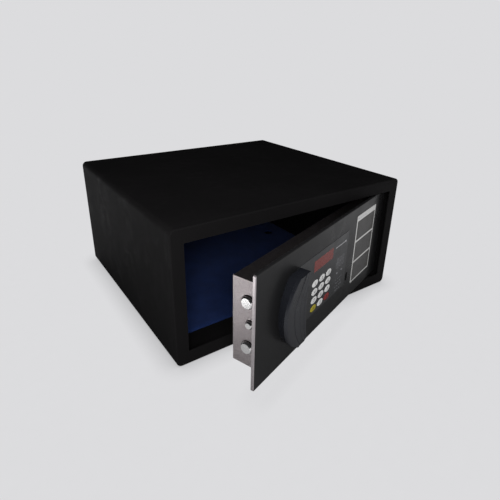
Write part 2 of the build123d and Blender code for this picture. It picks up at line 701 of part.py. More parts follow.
def gear_motor():
    """Gearbox seated on the floor of the box, with its motor can beside it."""
    rear = GEAR_Y - 1
    front = rear - GEARBOX_DEEP
    low = BOX_LOW + BOX_SHEET
    high = LOCK_HEIGHT + GEARBOX_WIDE / 2
    box = block(MOTOR_X - GEARBOX_WIDE / 2, MOTOR_X + GEARBOX_WIDE / 2, front, rear, low, high)
    left = MOTOR_X - GEARBOX_WIDE / 2
    middle = (front + rear) / 2
    box += rod_x(GEARBOX_DEEP / 2, left - MOTOR_LENGTH, left, middle, low + GEARBOX_DEEP / 2 + MOTOR_RISE)
    bore = rod_y(MOTOR_SHAFT_R + PIN_CLEAR, GEAR_Y - MOTOR_SHAFT_IN - SHAFT_END_GAP, rear + PAST, MOTOR_X,
                 LOCK_HEIGHT)
    return box - bore


def lock_body():
    """Cylinder housing of the emergency key lock, fixed behind the plate."""
    body = rod_y(LOCK_BODY_R, PLATE_REAR, GEAR_Y - LOCK_END_GAP, LOCK_X, LOCK_HEIGHT)
    return body - rod_y(PLUG_R + PLUG_CLEAR, PLATE_REAR - PAST, GEAR_Y, LOCK_X, LOCK_HEIGHT)


def key_plug():
    """Turning plug with a keyway, and its tail behind the housing."""
    nose_r = KEYHOLE_WIDE / 2 - FIT_GAP
    nose_y = FRONT + PLUG_RECESS
    plug = rod_y(PLUG_R, PLATE_REAR + FIT_GAP, GEAR_Y - LOCK_END_GAP, LOCK_X, LOCK_HEIGHT)
    plug += rod_y(nose_r, nose_y, PLATE_REAR + FIT_GAP, LOCK_X, LOCK_HEIGHT)
    plug += rod_y(TAIL_R, GEAR_Y - LOCK_END_GAP, GEAR_Y + GEAR_WIDTH, LOCK_X, LOCK_HEIGHT)
    keyway = block(LOCK_X - KEYWAY_WIDE / 2, LOCK_X + KEYWAY_WIDE / 2, nose_y - PAST,
                   nose_y + KEYWAY_DEEP, LOCK_HEIGHT - KEYWAY_TALL / 2, LOCK_HEIGHT + KEYWAY_TALL / 2)
    return plug - keyway


def key_gear():
    """Gear on the tail of the key plug."""
    gear = gear_at(LOCK_X)
    return gear - rod_y(TAIL_R, GEAR_Y - PAST, GEAR_Y + GEAR_WIDTH + PAST, LOCK_X, LOCK_HEIGHT)


# ------------------------------------------------------------------ batteries
def cell_places():
    """Left-to-right centres of the cells."""
    pitch = 2 * CELL_R + CELL_GAP
    return [HOLDER_X + (i - (CELL_COUNT - 1) / 2) * pitch for i in range(CELL_COUNT)]


def battery_holder():
    """Open tray for the cells, fixed behind the back cover's opening."""
    left, right, low, high = battery_bay()
    front = COVER_FRONT - 2 * CELL_R - CELL_GAP - HOLDER_WALL - HOLDER_CLEAR
    rear = COVER_FRONT - FIT_GAP
    tray = block(left, right, front, rear, low, high)
    return tray - block(left + HOLDER_WALL, right - HOLDER_WALL, front + HOLDER_WALL, rear + PAST,
                        low + HOLDER_WALL, high - HOLDER_WALL)


def battery_cells():
    """Four cells side by side."""
    low = battery_bay()[2] + HOLDER_WALL + CELL_GAP
    y = COVER_FRONT - HOLDER_CLEAR - CELL_R
    return Compound([rod_z(CELL_R, low, low + CELL_LENGTH, x, y) for x in cell_places()])


def battery_cover():
    """Lid flush in the back cover's battery opening."""
    left, right, low, high = battery_bay()
    gap = FIT_GAP
    return block(left + gap, right - gap, COVER_FRONT, BOX_REAR, low + gap, high - gap)


# ------------------------------------------------------------------ assembly
def build_body():
    """Pieces fixed to the body."""
    return {
        "front_frame": front_frame(),
        "body_shell": body_shell(),
        "rear_panel": rear_panel(),
        "strike_plate": strike_plate(),
        "upper_hinge_bracket": hinge_bracket(OPEN_HIGH, 1),
        "lower_hinge_bracket": hinge_bracket(OPEN_LOW, -1),
        "upper_hinge_pin": hinge_pin(OPEN_HIGH, 1, BOX_HIGH + FIT_GAP),
        "lower_hinge_pin": hinge_pin(OPEN_LOW, -1, BOX_LOW - FIT_GAP),
        "hinge_washer": hinge_washer(),
        "floor_mat": floor_mat(),
    }


def build_door():
    """Pieces that swing with the door, modelled shut."""
    low, high = BOLT_HEIGHTS
    door = {
        "door_plate": door_plate(),
        "bolt_box": bolt_box(),
        "back_cover": back_cover(),
        "cover_posts": cover_posts(),
        "cover_screws": cover_screws(),
        "upper_hinge_barrel": hinge_barrel(BOX_HIGH, PLATE_HIGH),
        "lower_hinge_barrel": hinge_barrel(OPEN_LOW + WASHER_THICK + BARREL_GAP, BOX_LOW),
        "pull_handle": pull_handle(),
        "handle_screws": handle_screws(),
        "instruction_label": instruction_label(),
        "keypad_fascia": keypad_fascia(),
        "display_window": display_window(),
        "display_module": display_module(),
        "control_board": control_board(),
        "board_screws": board_screws(),
        "key_switches": key_switches(),
        "bolt_guide": bolt_guide(),
        "gear_motor": gear_motor(),
        "lock_body": lock_body(),
        "battery_holder": battery_holder(),
        "battery_cells": battery_cells(),
        "battery_cover": battery_cover(),
        "bolt_slide": bolt_slide(),
        "upper_bolt": bolt(BOLT_R, BOLT_Y, high),
        "lower_bolt": bolt(BOLT_R, BOLT_Y, low),
        "middle_bolt": bolt(CATCH_R, CATCH_Y, CATCH_Z),
        "motor_gear": motor_gear(),
        "motor_shaft": motor_shaft(),
        "key_plug": key_plug(),
        "key_gear": key_gear(),
    }
    names = ["1", "2", "3", "4", "5", "6", "7", "8", "9", "clear", "0", "lock"]
    for name, (x, z) in zip(names, key_places()):
        door["key_" + name] = key(x, z)
    return {name: hang(piece) for name, piece in door.items()}


def main():
    """Write one STEP file for each piece."""
    os.makedirs("parts", exist_ok=True)
    for name, piece in {**build_body(), **build_door()}.items():
        export_step(piece, f"parts/{name}.step")


main()
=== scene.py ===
# %% [markdown]
# # A hotel room safe in paint, plating and print
# The working model already holds every sheet, bolt, hinge and key of the safe at its real size.
# This lesson keeps the steel parts whose shape is right, and gives them paint and plating.
# The parts that a hand or an eye meets first are made again in finer mesh: the grip, the keys,
# the printed plate, the display, the carpet, the screws and the battery door.

# %% Load the working model
import json
from math import atan2, cos, hypot, pi, radians, sin
from random import Random

import bmesh
import bpy
from mathutils import Matrix, Vector, noise


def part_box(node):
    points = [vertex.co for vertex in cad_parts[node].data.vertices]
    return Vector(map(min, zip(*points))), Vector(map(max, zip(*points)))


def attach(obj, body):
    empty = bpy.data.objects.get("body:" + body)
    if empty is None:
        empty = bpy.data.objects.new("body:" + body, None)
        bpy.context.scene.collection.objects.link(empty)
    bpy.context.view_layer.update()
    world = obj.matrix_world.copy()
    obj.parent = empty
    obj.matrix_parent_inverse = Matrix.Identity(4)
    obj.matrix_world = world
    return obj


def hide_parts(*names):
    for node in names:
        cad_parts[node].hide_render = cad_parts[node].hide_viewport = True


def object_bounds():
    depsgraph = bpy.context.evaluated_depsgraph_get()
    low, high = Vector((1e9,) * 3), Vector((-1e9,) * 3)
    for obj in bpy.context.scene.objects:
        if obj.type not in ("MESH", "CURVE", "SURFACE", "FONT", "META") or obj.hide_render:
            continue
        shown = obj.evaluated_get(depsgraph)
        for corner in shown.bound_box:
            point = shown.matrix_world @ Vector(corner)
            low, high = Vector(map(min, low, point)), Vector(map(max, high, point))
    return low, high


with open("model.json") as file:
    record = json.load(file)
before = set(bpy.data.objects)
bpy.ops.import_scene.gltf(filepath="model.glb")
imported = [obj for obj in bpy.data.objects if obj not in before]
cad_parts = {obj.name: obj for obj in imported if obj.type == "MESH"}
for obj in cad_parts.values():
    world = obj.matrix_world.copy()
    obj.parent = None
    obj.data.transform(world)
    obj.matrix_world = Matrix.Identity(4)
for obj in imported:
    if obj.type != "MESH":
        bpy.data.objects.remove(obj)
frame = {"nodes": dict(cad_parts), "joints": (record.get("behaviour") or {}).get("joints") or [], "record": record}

MM = 0.001
CAD_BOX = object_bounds()
print("working model, low and high corner:", [[round(v, 4) for v in corner] for corner in CAD_BOX])

# %% [markdown]
# ## The door is ajar
# Everything on the door was designed with the door shut, where its edges run along X and Z.
# It is easiest to keep designing it that way, and to swing each finished piece open at the end.
# The hinge joint says where the hinge line is and how far the door now stands from shut.

# %% The shut door and the open door
swing_joint = next(joint for joint in frame["joints"] if joint["name"] == "door_swing")
hinge_line = Vector(swing_joint["pos_m"])
door_ajar = radians(-swing_joint["range_deg"][0])
OPENED = (
    Matrix.Translation(hinge_line)
    @ Matrix.Rotation(door_ajar, 4, "Z")
    @ Matrix.Translation(-hinge_line)
)
STILL = Matrix.Identity(4)


def shut_box(node):
    """Lowest and highest corner of a node on the door, as it lies with the door shut."""
    shut = OPENED.inverted()
    points = [shut @ vertex.co for vertex in frame["nodes"][node].data.vertices]
    low = Vector([min(point[axis] for point in points) for axis in range(3)])
    high = Vector([max(point[axis] for point in points) for axis in range(3)])
    return low, high


PLATE_LOW = shut_box("door_plate")[0]
print("door ajar by", round(swing_joint["range_deg"][0], 1), "degrees; plate front at", round(PLATE_LOW.y, 4))

# %% [markdown]
# ## Node helpers
# A shader is a small graph. Writing it by hand takes three lines a node, so these helpers add a
# node, set or link its sockets, and give back the output that the next node wants.
# A value that is a socket is linked, and anything else is typed into the socket.

# %% Add nodes in one line
def add(tree, kind, sockets=(), **settings):
    """A new node with its settings and sockets filled in."""
    made = tree.nodes.new(kind)
    for name, value in settings.items():
        setattr(made, name, value)
    for name, value in dict(sockets).items():
        if isinstance(value, bpy.types.NodeSocket):
            tree.links.new(value, made.inputs[name])
        else:
            made.inputs[name].default_value = value
    return made


def sum_of(tree, operation, first, second=0.0, third=0.0):
    """One Math node."""
    sockets = {0: first, 1: second}
    if operation == "MULTIPLY_ADD":
        sockets[2] = third
    return add(tree, "ShaderNodeMath", sockets, operation=operation).outputs[0]


def spread(tree, value, low, high, new_low=0.0, new_high=1.0):
    """Stretches the stretch low..high of a value to new_low..new_high."""
    sockets = {"Value": value, "From Min": low, "From Max": high, "To Min": new_low, "To Max": new_high}
    return add(tree, "ShaderNodeMapRange", sockets).outputs["Result"]


def tint(tree, share, first, second):
    """Mixes two colours by a mask."""
    mixer = add(tree, "ShaderNodeMix", {0: share}, data_type="RGBA")
    for index, colour in ((6, first), (7, second)):
        if isinstance(colour, bpy.types.NodeSocket):
            tree.links.new(colour, mixer.inputs[index])
        else:
            mixer.inputs[index].default_value = (*colour, 1.0)
    return mixer.outputs[2]


def shade(colour, amount):
    """The same colour, lighter or darker."""
    return tuple(min(1.0, channel * amount) for channel in colour)


def object_space(tree):
    """Where a point of the surface lies, in metres, so that no texture needs a UV map."""
    return add(tree, "ShaderNodeTexCoord").outputs["Object"]


def cloudy(tree, where, scale, detail=2.0, **more):
    """A noise texture's value."""
    sockets = {"Vector": where, "Scale": scale, "Detail": detail, **more}
    return add(tree, "ShaderNodeTexNoise", sockets).outputs["Fac"]


# %% [markdown]
# ## Shared effects
# Paint, plastic and steel look real through a few effects that come back on each of them: a fine
# surface grain, rubbed edges, finger marks, drawn lines and settled dust. Each is made once as a
# group with its own sockets, and every finish below places it with its own values.

# %% Make and place a group
def new_effect(name, inputs, outputs):
    """An empty shader group with its sockets, and its input and output nodes."""
    tree = bpy.data.node_groups.new(name, "ShaderNodeTree")
    for label, default in inputs.items():
        kind = "NodeSocketVector" if isinstance(default, tuple) else "NodeSocketFloat"
        socket = tree.interface.new_socket(label, in_out="INPUT", socket_type=kind)
        socket.default_value = default
    for label in outputs:
        tree.interface.new_socket(label, in_out="OUTPUT", socket_type="NodeSocketFloat")
    return tree, tree.nodes.new("NodeGroupInput").outputs, tree.nodes.new("NodeGroupOutput").inputs


def place(tree, effect, **values):
    """An effect's group inside a material, with its sockets named by words joined with _."""
    sockets = {label.replace("_", " "): value for label, value in values.items()}
    made = add(tree, "ShaderNodeGroup", node_tree=effect)
    for label, value in sockets.items():
        made.inputs[label].default_value = value
    return made.outputs


# %% [markdown]
# Powder coat is melted dust: up close it has the soft dimples of an orange's skin, with a finer
# grit between them. A noise gives the dimples and a cell texture the grit. A slow noise says
# where the coat is a little thicker, which shows as a faint change of tone.

# %% Powder grain
powder_grain, given, result = new_effect(
    "powder_grain", {"Dimples per metre": 900.0, "Patches per metre": 9.0}, ["Height", "Tone"])
where = object_space(powder_grain)
dimples = cloudy(powder_grain, where, given["Dimples per metre"], Roughness=0.6)
grit = add(powder_grain, "ShaderNodeTexVoronoi",
           {"Vector": where, "Scale": sum_of(powder_grain, "MULTIPLY", given["Dimples per metre"], 2.1)})
patches = cloudy(powder_grain, where, given["Patches per metre"], 3.0)
height = sum_of(powder_grain, "MULTIPLY_ADD", grit.outputs["Distance"], 0.35, dimples)
powder_grain.links.new(height, result["Height"])
tone = sum_of(powder_grain, "MULTIPLY_ADD", dimples, 0.5, patches)
powder_grain.links.new(spread(powder_grain, tone, 0.55, 0.95), result["Tone"])
print("effect:", powder_grain.name)

# %% [markdown]
# Edges lose their finish first. The Bevel node knows what the normal would be if the edge were
# rounder, so where it differs from the true normal there is an edge nearby. A noise breaks the
# band up, because nobody rubs an edge evenly.

# %% Rubbed edges
rubbed_edges, given, result = new_effect(
    "rubbed_edges", {"Band width": 0.0012, "Amount": 1.0, "Breaks per metre": 160.0}, ["Mask"])
where = object_space(rubbed_edges)
rounder = add(rubbed_edges, "ShaderNodeBevel", {"Radius": given["Band width"]}, samples=4)
true_normal = add(rubbed_edges, "ShaderNodeNewGeometry").outputs["Normal"]
agree = add(rubbed_edges, "ShaderNodeVectorMath", {0: rounder.outputs[0], 1: true_normal},
            operation="DOT_PRODUCT").outputs["Value"]
band = spread(rubbed_edges, agree, 0.995, 0.80)
breaks = cloudy(rubbed_edges, where, given["Breaks per metre"], 4.0, Roughness=0.7)
broken = spread(rubbed_edges, breaks, 0.38, 0.68)
rubbed = sum_of(rubbed_edges, "MULTIPLY", sum_of(rubbed_edges, "MULTIPLY", band, broken), given["Amount"])
rubbed_edges.links.new(sum_of(rubbed_edges, "MINIMUM", rubbed, 1.0), result["Mask"])
print("effect:", rubbed_edges.name)

# %% [markdown]
# Hands leave faint shiny patches about as wide as a fingertip, and cloths leave wider ones. Two
# noises of those sizes, multiplied, make a mask that only ever changes the roughness.

# %% Finger marks
finger_marks, given, result = new_effect(
    "finger_marks", {"Marks per metre": 45.0, "Amount": 1.0}, ["Mask"])
where = object_space(finger_marks)
tips = cloudy(finger_marks, where, given["Marks per metre"], 3.0, Distortion=0.6)
wipes = cloudy(finger_marks, where, sum_of(finger_marks, "MULTIPLY", given["Marks per metre"], 0.22))
tips_mask = spread(finger_marks, tips, 0.42, 0.66)
wipes_mask = spread(finger_marks, wipes, 0.35, 0.65)
both = sum_of(finger_marks, "MULTIPLY", tips_mask, wipes_mask)
finger_marks.links.new(sum_of(finger_marks, "MULTIPLY", both, given["Amount"]), result["Mask"])
print("effect:", finger_marks.name)

# %% [markdown]
# Rolled, turned and brushed metal has fine lines that all run one way. Squeezing the texture's
# space in one direction turns round noise into such lines, so the group asks for a stretch.

# %% Drawn lines
drawn_lines, given, result = new_effect(
    "drawn_lines", {"Stretch": (3000.0, 3000.0, 60.0)}, ["Height", "Tone"])
where = object_space(drawn_lines)
squeezed = add(drawn_lines, "ShaderNodeVectorMath", {0: where, 1: given["Stretch"]},
               operation="MULTIPLY").outputs["Vector"]
lines = cloudy(drawn_lines, squeezed, 1.0, 4.0)
drawn_lines.links.new(lines, result["Height"])
drawn_lines.links.new(spread(drawn_lines, lines, 0.3, 0.7), result["Tone"])
print("effect:", drawn_lines.name)

# %% [markdown]
# A moulding tool is etched so that the plastic comes out with a leather-like grain, which hides
# sink marks. Small cells with soft borders give it, and a slow noise fades it a little.

# %% Mould grain
mould_grain, given, result = new_effect(
    "mould_grain", {"Cells per metre": 2200.0}, ["Height", "Tone"])
where = object_space(mould_grain)
cells = add(mould_grain, "ShaderNodeTexVoronoi",
            {"Vector": where, "Scale": given["Cells per metre"]}, feature="SMOOTH_F1")
sinks = cloudy(mould_grain, where, 60.0)
mould_grain.links.new(cells.outputs["Distance"], result["Height"])
mould_grain.links.new(spread(mould_grain, sinks, 0.3, 0.7), result["Tone"])
print("effect:", mould_grain.name)

# %% [markdown]
# Dust settles on what faces up and stays in patches. The surface normal's Z says how level the
# surface is, and a noise leaves clean islands in it.

# %% Settled dust
settled_dust, given, result = new_effect("settled_dust", {"Amount": 0.2}, ["Mask"])
where = object_space(settled_dust)
normal = add(settled_dust, "ShaderNodeNewGeometry").outputs["Normal"]
upward = add(settled_dust, "ShaderNodeSeparateXYZ", {0: normal}).outputs["Z"]
level = spread(settled_dust, upward, 0.6, 1.0)
drift_mask = spread(settled_dust, cloudy(settled_dust, where, 22.0, 8.0), 0.42, 0.72)
lying = sum_of(settled_dust, "MULTIPLY", level, drift_mask)
settled_dust.links.new(sum_of(settled_dust, "MULTIPLY", lying, given["Amount"]), result["Mask"])
print("effect:", settled_dust.name)

# %% [markdown]
# ## Finishes
# Each finish starts as one Principled shader with its plain numbers typed into its own sockets.
# Only what changes over the surface comes in through nodes. The working model's flat placeholder
# colours are dropped first, which frees their names for the real finishes.

# %% Start a finish
for placeholder in list(bpy.data.materials):
    bpy.data.materials.remove(placeholder)


def start_finish(name, colour, roughness, metallic=0.0, **plain):
    """A material with its shader's plain values set, its tree and its shader."""
    material = bpy.data.materials.new(name)
    material.use_nodes = True
    tree = material.node_tree
    shader = tree.nodes["Principled BSDF"]
    values = {"Base Color": (*colour, 1.0), "Roughness": roughness, "Metallic": metallic}
    values.update({label.replace("_", " "): value for label, value in plain.items()})
    for label, value in values.items():
        shader.inputs[label].default_value = value
    return material, tree, shader.inputs


def roughen(tree, inputs, mask, clean, marked):
    """Roughness from a mask: clean where it is 0, marked where it is 1."""
    tree.links.new(spread(tree, mask, 0.0, 1.0, clean, marked), inputs["Roughness"])


def emboss(tree, inputs, height, depth):
    """Bump from a height, with the depth of the relief in metres."""
    bump = add(tree, "ShaderNodeBump", {"Height": height, "Distance": depth})
    tree.links.new(bump.outputs["Normal"], inputs["Normal"])


# %% [markdown]
# The case is matt black powder coat, the leaf of the door a charcoal satin one. Both are the same
# recipe: grain, a faint change of tone, rubbed edges that show greyer, dust and finger marks.
# Black paint has little shine head on, so the specular level is low as well as the colour.

# %% Painted steel
DUST_COLOUR = (0.16, 0.155, 0.15)
HANDLED_SHINE = 0.10             # roughness that a finger mark takes away from paint


def painted_steel(name, colour, rubbed, roughness, shine, dimples, depth, wear, dust):
    """Powder-coated sheet steel."""
    material, tree, inputs = start_finish(name, colour, roughness, Specular_IOR_Level=shine)
    grain = place(tree, powder_grain, Dimples_per_metre=dimples)
    edges = place(tree, rubbed_edges, Amount=wear)
    marks = place(tree, finger_marks)
    settled = place(tree, settled_dust, Amount=dust)
    coat = tint(tree, grain["Tone"], shade(colour, 0.90), shade(colour, 1.10))
    worn = tint(tree, edges["Mask"], coat, rubbed)
    tree.links.new(tint(tree, settled["Mask"], worn, DUST_COLOUR), inputs["Base Color"])
    roughen(tree, inputs, marks["Mask"], roughness, roughness - HANDLED_SHINE)
    emboss(tree, inputs, grain["Height"], depth)
    return material


body_black = painted_steel("body_black", (0.0058, 0.0055, 0.0057), (0.018, 0.018, 0.019),
                           0.58, 0.022, 1100.0, 0.00010, 0.6, 0.002)
door_charcoal = painted_steel("door_charcoal", (0.0085, 0.0085, 0.0088), (0.05, 0.05, 0.052),
                              0.34, 0.17, 1500.0, 0.00003, 0.8, 0.003)
print("paint:", body_black.name, door_charcoal.name)

# %% [markdown]
# The free edge of the door leaf is guillotined after painting, so its narrow end is bare steel.
# A plane just inside that end, facing away from the hinge, parts bare metal from paint.

# %% Bare end of the door leaf
END_START = 0.6 * MM             # the paint stops this far from the end
END_FADE = 0.3 * MM
BARE_END = (0.60, 0.555, 0.565)
BARE_ROUGH = 0.40
away_from_hinge = OPENED.to_3x3() @ Vector((-1, 0, 0))
end_at = away_from_hinge.dot(OPENED @ PLATE_LOW)
tree = door_charcoal.node_tree
inputs = tree.nodes["Principled BSDF"].inputs
where = object_space(tree)
reach = add(tree, "ShaderNodeVectorMath", {0: where, 1: away_from_hinge},
            operation="DOT_PRODUCT").outputs["Value"]
bare = spread(tree, reach, end_at - END_START - END_FADE, end_at - END_START)
painted = inputs["Base Color"].links[0].from_socket
rough_paint = inputs["Roughness"].links[0].from_socket
shear_marks = place(tree, drawn_lines, Stretch=(400.0, 400.0, 1800.0))
bare_steel = tint(tree, shear_marks["Tone"], shade(BARE_END, 0.8), BARE_END)
tree.links.new(tint(tree, bare, painted, bare_steel), inputs["Base Color"])
tree.links.new(bare, inputs["Metallic"])
rough_end = sum_of(tree, "MULTIPLY", bare, BARE_ROUGH)
tree.links.new(sum_of(tree, "MAXIMUM", rough_paint, rough_end), inputs["Roughness"])
print("bare end starts at", round(end_at - END_START, 4), "m from the model's origin")

# %% [markdown]
# The bolt box behind the leaf is sprayed with light grey hammer paint. It pulls into small cells
# with dark rims while it dries, and its metal flakes sparkle. Large cells set the tone and the
# bump, and small ones give each flake its own tone and its own share of metal.

# %% Hammer paint
CELL_BEND = 0.0012               # how far the cells wander from straight sides, in metres
CELLS_PER_METRE = 620.0
FLAKES_PER_METRE = 1600.0


def hammer_paint(name, colour, rims):
    """Metallic hammer paint, with rims between its cells."""
    material, tree, inputs = start_finish(name, colour, 0.42, Specular_IOR_Level=0.5)
    where = object_space(tree)
    wobble = add(tree, "ShaderNodeTexNoise", {"Vector": where, "Scale": 500.0, "Detail": 2.0})
    bent = add(tree, "ShaderNodeVectorMath",
               {0: wobble.outputs["Color"], 1: (CELL_BEND, CELL_BEND, CELL_BEND), 2: where},
               operation="MULTIPLY_ADD").outputs["Vector"]
    cells = add(tree, "ShaderNodeTexVoronoi", {"Vector": bent, "Scale": CELLS_PER_METRE},
                feature="DISTANCE_TO_EDGE")
    flakes = add(tree, "ShaderNodeTexVoronoi", {"Vector": where, "Scale": FLAKES_PER_METRE})
    flake_tone = add(tree, "ShaderNodeSeparateColor", {0: flakes.outputs["Color"]}).outputs["Red"]
    rim = spread(tree, cells.outputs["Distance"], 0.0, 0.22)
    tone = sum_of(tree, "MULTIPLY_ADD", flake_tone, 0.45, sum_of(tree, "MULTIPLY", rim, 0.55))
    edges = place(tree, rubbed_edges, Amount=0.8)
    paint = tint(tree, tone, rims, colour)
    tree.links.new(tint(tree, edges["Mask"], paint, shade(colour, 1.35)), inputs["Base Color"])
    tree.links.new(spread(tree, flake_tone, 0.0, 1.0, 0.97, 1.0), inputs["Metallic"])
    marks = place(tree, finger_marks)
    roughen(tree, inputs, marks["Mask"], 0.36, 0.28)
    emboss(tree, inputs, rim, 0.00010)
    return material


box_grey = hammer_paint("box_grey", (0.50, 0.45, 0.455), (0.21, 0.19, 0.192))
print("paint:", box_grey.name)

# %% [markdown]
# Bare and plated metals differ in colour, in how sharp they mirror, and in which way their lines
# run. The bolts are turned and chromed, the slide is zinc plated, the lock parts are brass.

# %% Bare metal
GRIME = (0.08, 0.07, 0.06)
GRIME_SHARE = 0.12
GRIME_ROUGH = 0.12
METAL_WEAR = 0.4


def bare_metal(name, colour, roughness, stretch, depth=0.00002):
    """Metal with drawn lines, finger marks and a little grime in its tone."""
    material, tree, inputs = start_finish(name, colour, roughness, metallic=1.0)
    lines = place(tree, drawn_lines, Stretch=stretch)
    marks = place(tree, finger_marks, Marks_per_metre=140.0)
    edges = place(tree, rubbed_edges, Band_width=0.0006, Amount=METAL_WEAR)
    metal = tint(tree, lines["Tone"], shade(colour, 0.88), colour)
    grimy = tint(tree, sum_of(tree, "MULTIPLY", marks["Mask"], GRIME_SHARE), metal, GRIME)
    tree.links.new(tint(tree, edges["Mask"], grimy, shade(colour, 1.1)), inputs["Base Color"])
    roughen(tree, inputs, marks["Mask"], roughness, roughness + GRIME_ROUGH)
    emboss(tree, inputs, lines["Height"], depth)
    return material


bolt_chrome = bare_metal("bolt_chrome", (0.96, 0.95, 0.94), 0.20, (60.0, 2600.0, 2600.0), 0.000006)
pin_steel = bare_metal("pin_steel", (0.52, 0.52, 0.53), 0.34, (1800.0, 1800.0, 200.0))
slide_zinc = bare_metal("slide_zinc", (0.62, 0.61, 0.57), 0.38, (500.0, 2600.0, 2600.0))
lock_brass = bare_metal("lock_brass", (0.68, 0.50, 0.22), 0.30, (2200.0, 300.0, 2200.0))
lock_black = bare_metal("lock_black", (0.020, 0.020, 0.021), 0.45, (2200.0, 300.0, 2200.0))
print("metals:", bolt_chrome.name, pin_steel.name, slide_zinc.name, lock_brass.name, lock_black.name)

# %% [markdown]
# Mouldings share a recipe too: an etched grain, a faint sink-mark tone, paler rubbed edges and
# finger marks. The grip is blue black and a little glossy, the fascia dull charcoal, the keys
# shiny and smooth.

# %% Moulded plastic
MOULDING_SHINE = 0.12            # roughness that a finger mark takes away from plastic


def moulded(name, colour, roughness, cells=2200.0, depth=0.00002, wear=0.35, shine=0.5):
    """Injection-moulded plastic."""
    material, tree, inputs = start_finish(name, colour, roughness, Specular_IOR_Level=shine)
    grain = place(tree, mould_grain, Cells_per_metre=cells)
    edges = place(tree, rubbed_edges, Band_width=0.0008, Amount=wear)
    marks = place(tree, finger_marks, Marks_per_metre=80.0)
    body = tint(tree, grain["Tone"], shade(colour, 0.9), shade(colour, 1.1))
    tree.links.new(tint(tree, edges["Mask"], body, shade(colour, 1.8)), inputs["Base Color"])
    roughen(tree, inputs, marks["Mask"], roughness, roughness - MOULDING_SHINE)
    emboss(tree, inputs, grain["Height"], depth)
    return material


handle_blue_black = moulded("handle_blue_black", (0.0085, 0.0092, 0.0118), 0.34, 1800.0, 0.000012,
                            wear=0.12, shine=0.42)
fascia_charcoal = moulded("fascia_charcoal", (0.014, 0.0145, 0.0155), 0.40, 2600.0, 0.00001,
                          wear=0.3, shine=0.45)
module_black = moulded("module_black", (0.014, 0.014, 0.015), 0.42)
gear_white = moulded("gear_white", (0.74, 0.74, 0.69), 0.38)
smooth_key = {"cells": 3000.0, "depth": 0.000008, "wear": 0.2}
key_white = moulded("key_white", (0.49, 0.49, 0.48), 0.30, **smooth_key)
key_yellow = moulded("key_yellow", (0.25, 0.21, 0.012), 0.36, shine=0.16, **smooth_key)
key_red = moulded("key_red", (0.14, 0.012, 0.011), 0.36, shine=0.22, **smooth_key)
print("mouldings:", handle_blue_black.name, fascia_charcoal.name, key_white.name)

# %% [markdown]
# Printed ink lies flat and dull. The prints on the fascia and on the instruction plate are thin
# raised films in four inks from pale to black, each slightly uneven as screen print is.

# %% Screen-printed ink
def ink(name, colour, roughness=0.55):
    """A thin printed film."""
    material, tree, inputs = start_finish(name, colour, roughness, Specular_IOR_Level=0.3)
    mesh_print = place(tree, mould_grain, Cells_per_metre=3800.0)
    wear = place(tree, finger_marks, Marks_per_metre=120.0)
    even = tint(tree, mesh_print["Tone"], shade(colour, 0.85), colour)
    tree.links.new(tint(tree, wear["Mask"], even, shade(colour, 0.72)), inputs["Base Color"])
    roughen(tree, inputs, wear["Mask"], roughness, roughness - 0.15)
    emboss(tree, inputs, mesh_print["Height"], 0.000005)
    return material


pale_ink = ink("pale_ink", (0.42, 0.42, 0.43))
faint_ink = ink("faint_ink", (0.15, 0.15, 0.16))
dark_ink = ink("dark_ink", (0.016, 0.016, 0.017))
panel_ink = ink("panel_ink", (0.040, 0.038, 0.035), 0.5)
print("inks:", pale_ink.name, faint_ink.name, dark_ink.name, panel_ink.name)

# %% [markdown]
# The instruction plate is thin aluminium, brushed along its length and clear lacquered.

# %% Brushed label plate
def brushed_plate(name, colour):
    """Lacquered aluminium with lines along its length."""
    material, tree, inputs = start_finish(name, colour, 0.4, metallic=0.55, Coat_Roughness=0.2)
    lines = place(tree, drawn_lines, Stretch=(40.0, 2500.0, 2500.0))
    marks = place(tree, finger_marks, Marks_per_metre=60.0)
    tree.links.new(tint(tree, lines["Tone"], shade(colour, 0.84), colour), inputs["Base Color"])
    roughen(tree, inputs, marks["Mask"], 0.42, 0.30)
    tree.links.new(spread(tree, marks["Mask"], 0.0, 1.0, 0.35, 0.1), inputs["Coat Weight"])
    emboss(tree, inputs, lines["Height"], 0.00001)
    return material


label_silver = brushed_plate("label_silver", (0.62, 0.62, 0.60))
print("plate:", label_silver.name)

# %% [markdown]
# The display hides behind a red acrylic window. The acrylic is cloudy, so only a third of the
# light goes through; the digits carry a faint painted glow and show dimly through it. The window
# has finger marks and a few fine scratches.

# %% Red window and dim digits
def tinted_window(name, colour):
    """Cloudy red acrylic."""
    material, tree, inputs = start_finish(name, colour, 0.12, Specular_IOR_Level=0.10,
                                          Transmission_Weight=0.3)
    marks = place(tree, finger_marks, Marks_per_metre=110.0)
    scratches = place(tree, drawn_lines, Stretch=(70.0, 3500.0, 3500.0))
    roughen(tree, inputs, marks["Mask"], 0.16, 0.34)
    tree.links.new(tint(tree, scratches["Tone"], shade(colour, 0.9), colour), inputs["Base Color"])
    emboss(tree, inputs, scratches["Height"], 0.000004)
    return material


def unlit_segment(name, colour):
    """A digit bar with a faint painted glow."""
    material, tree, inputs = start_finish(name, colour, 0.5, Emission_Strength=0.35)
    cells = place(tree, mould_grain, Cells_per_metre=1200.0)
    tree.links.new(tint(tree, cells["Tone"], shade(colour, 0.7), colour), inputs["Base Color"])
    tree.links.new(tint(tree, cells["Tone"], shade(colour, 0.5), colour), inputs["Emission Color"])
    roughen(tree, inputs, cells["Tone"], 0.45, 0.6)
    emboss(tree, inputs, cells["Height"], 0.00001)
    return material


window_red = tinted_window("window_red", (0.17, 0.034, 0.029))
# The bars give off a faint painted glow, so that the digits show dimly through the red window.
segment_red = unlit_segment("segment_red", (0.42, 0.06, 0.045))
print("display:", window_red.name, segment_red.name)

# %% [markdown]
# Needle felt is a mat of short fibres punched through each other: no weave, only tangled hairs
# of slightly different blues. Stretched, distorted noises cross to make the hairs, and a sheen
# lobe gives the soft rim that brushed fibre has.

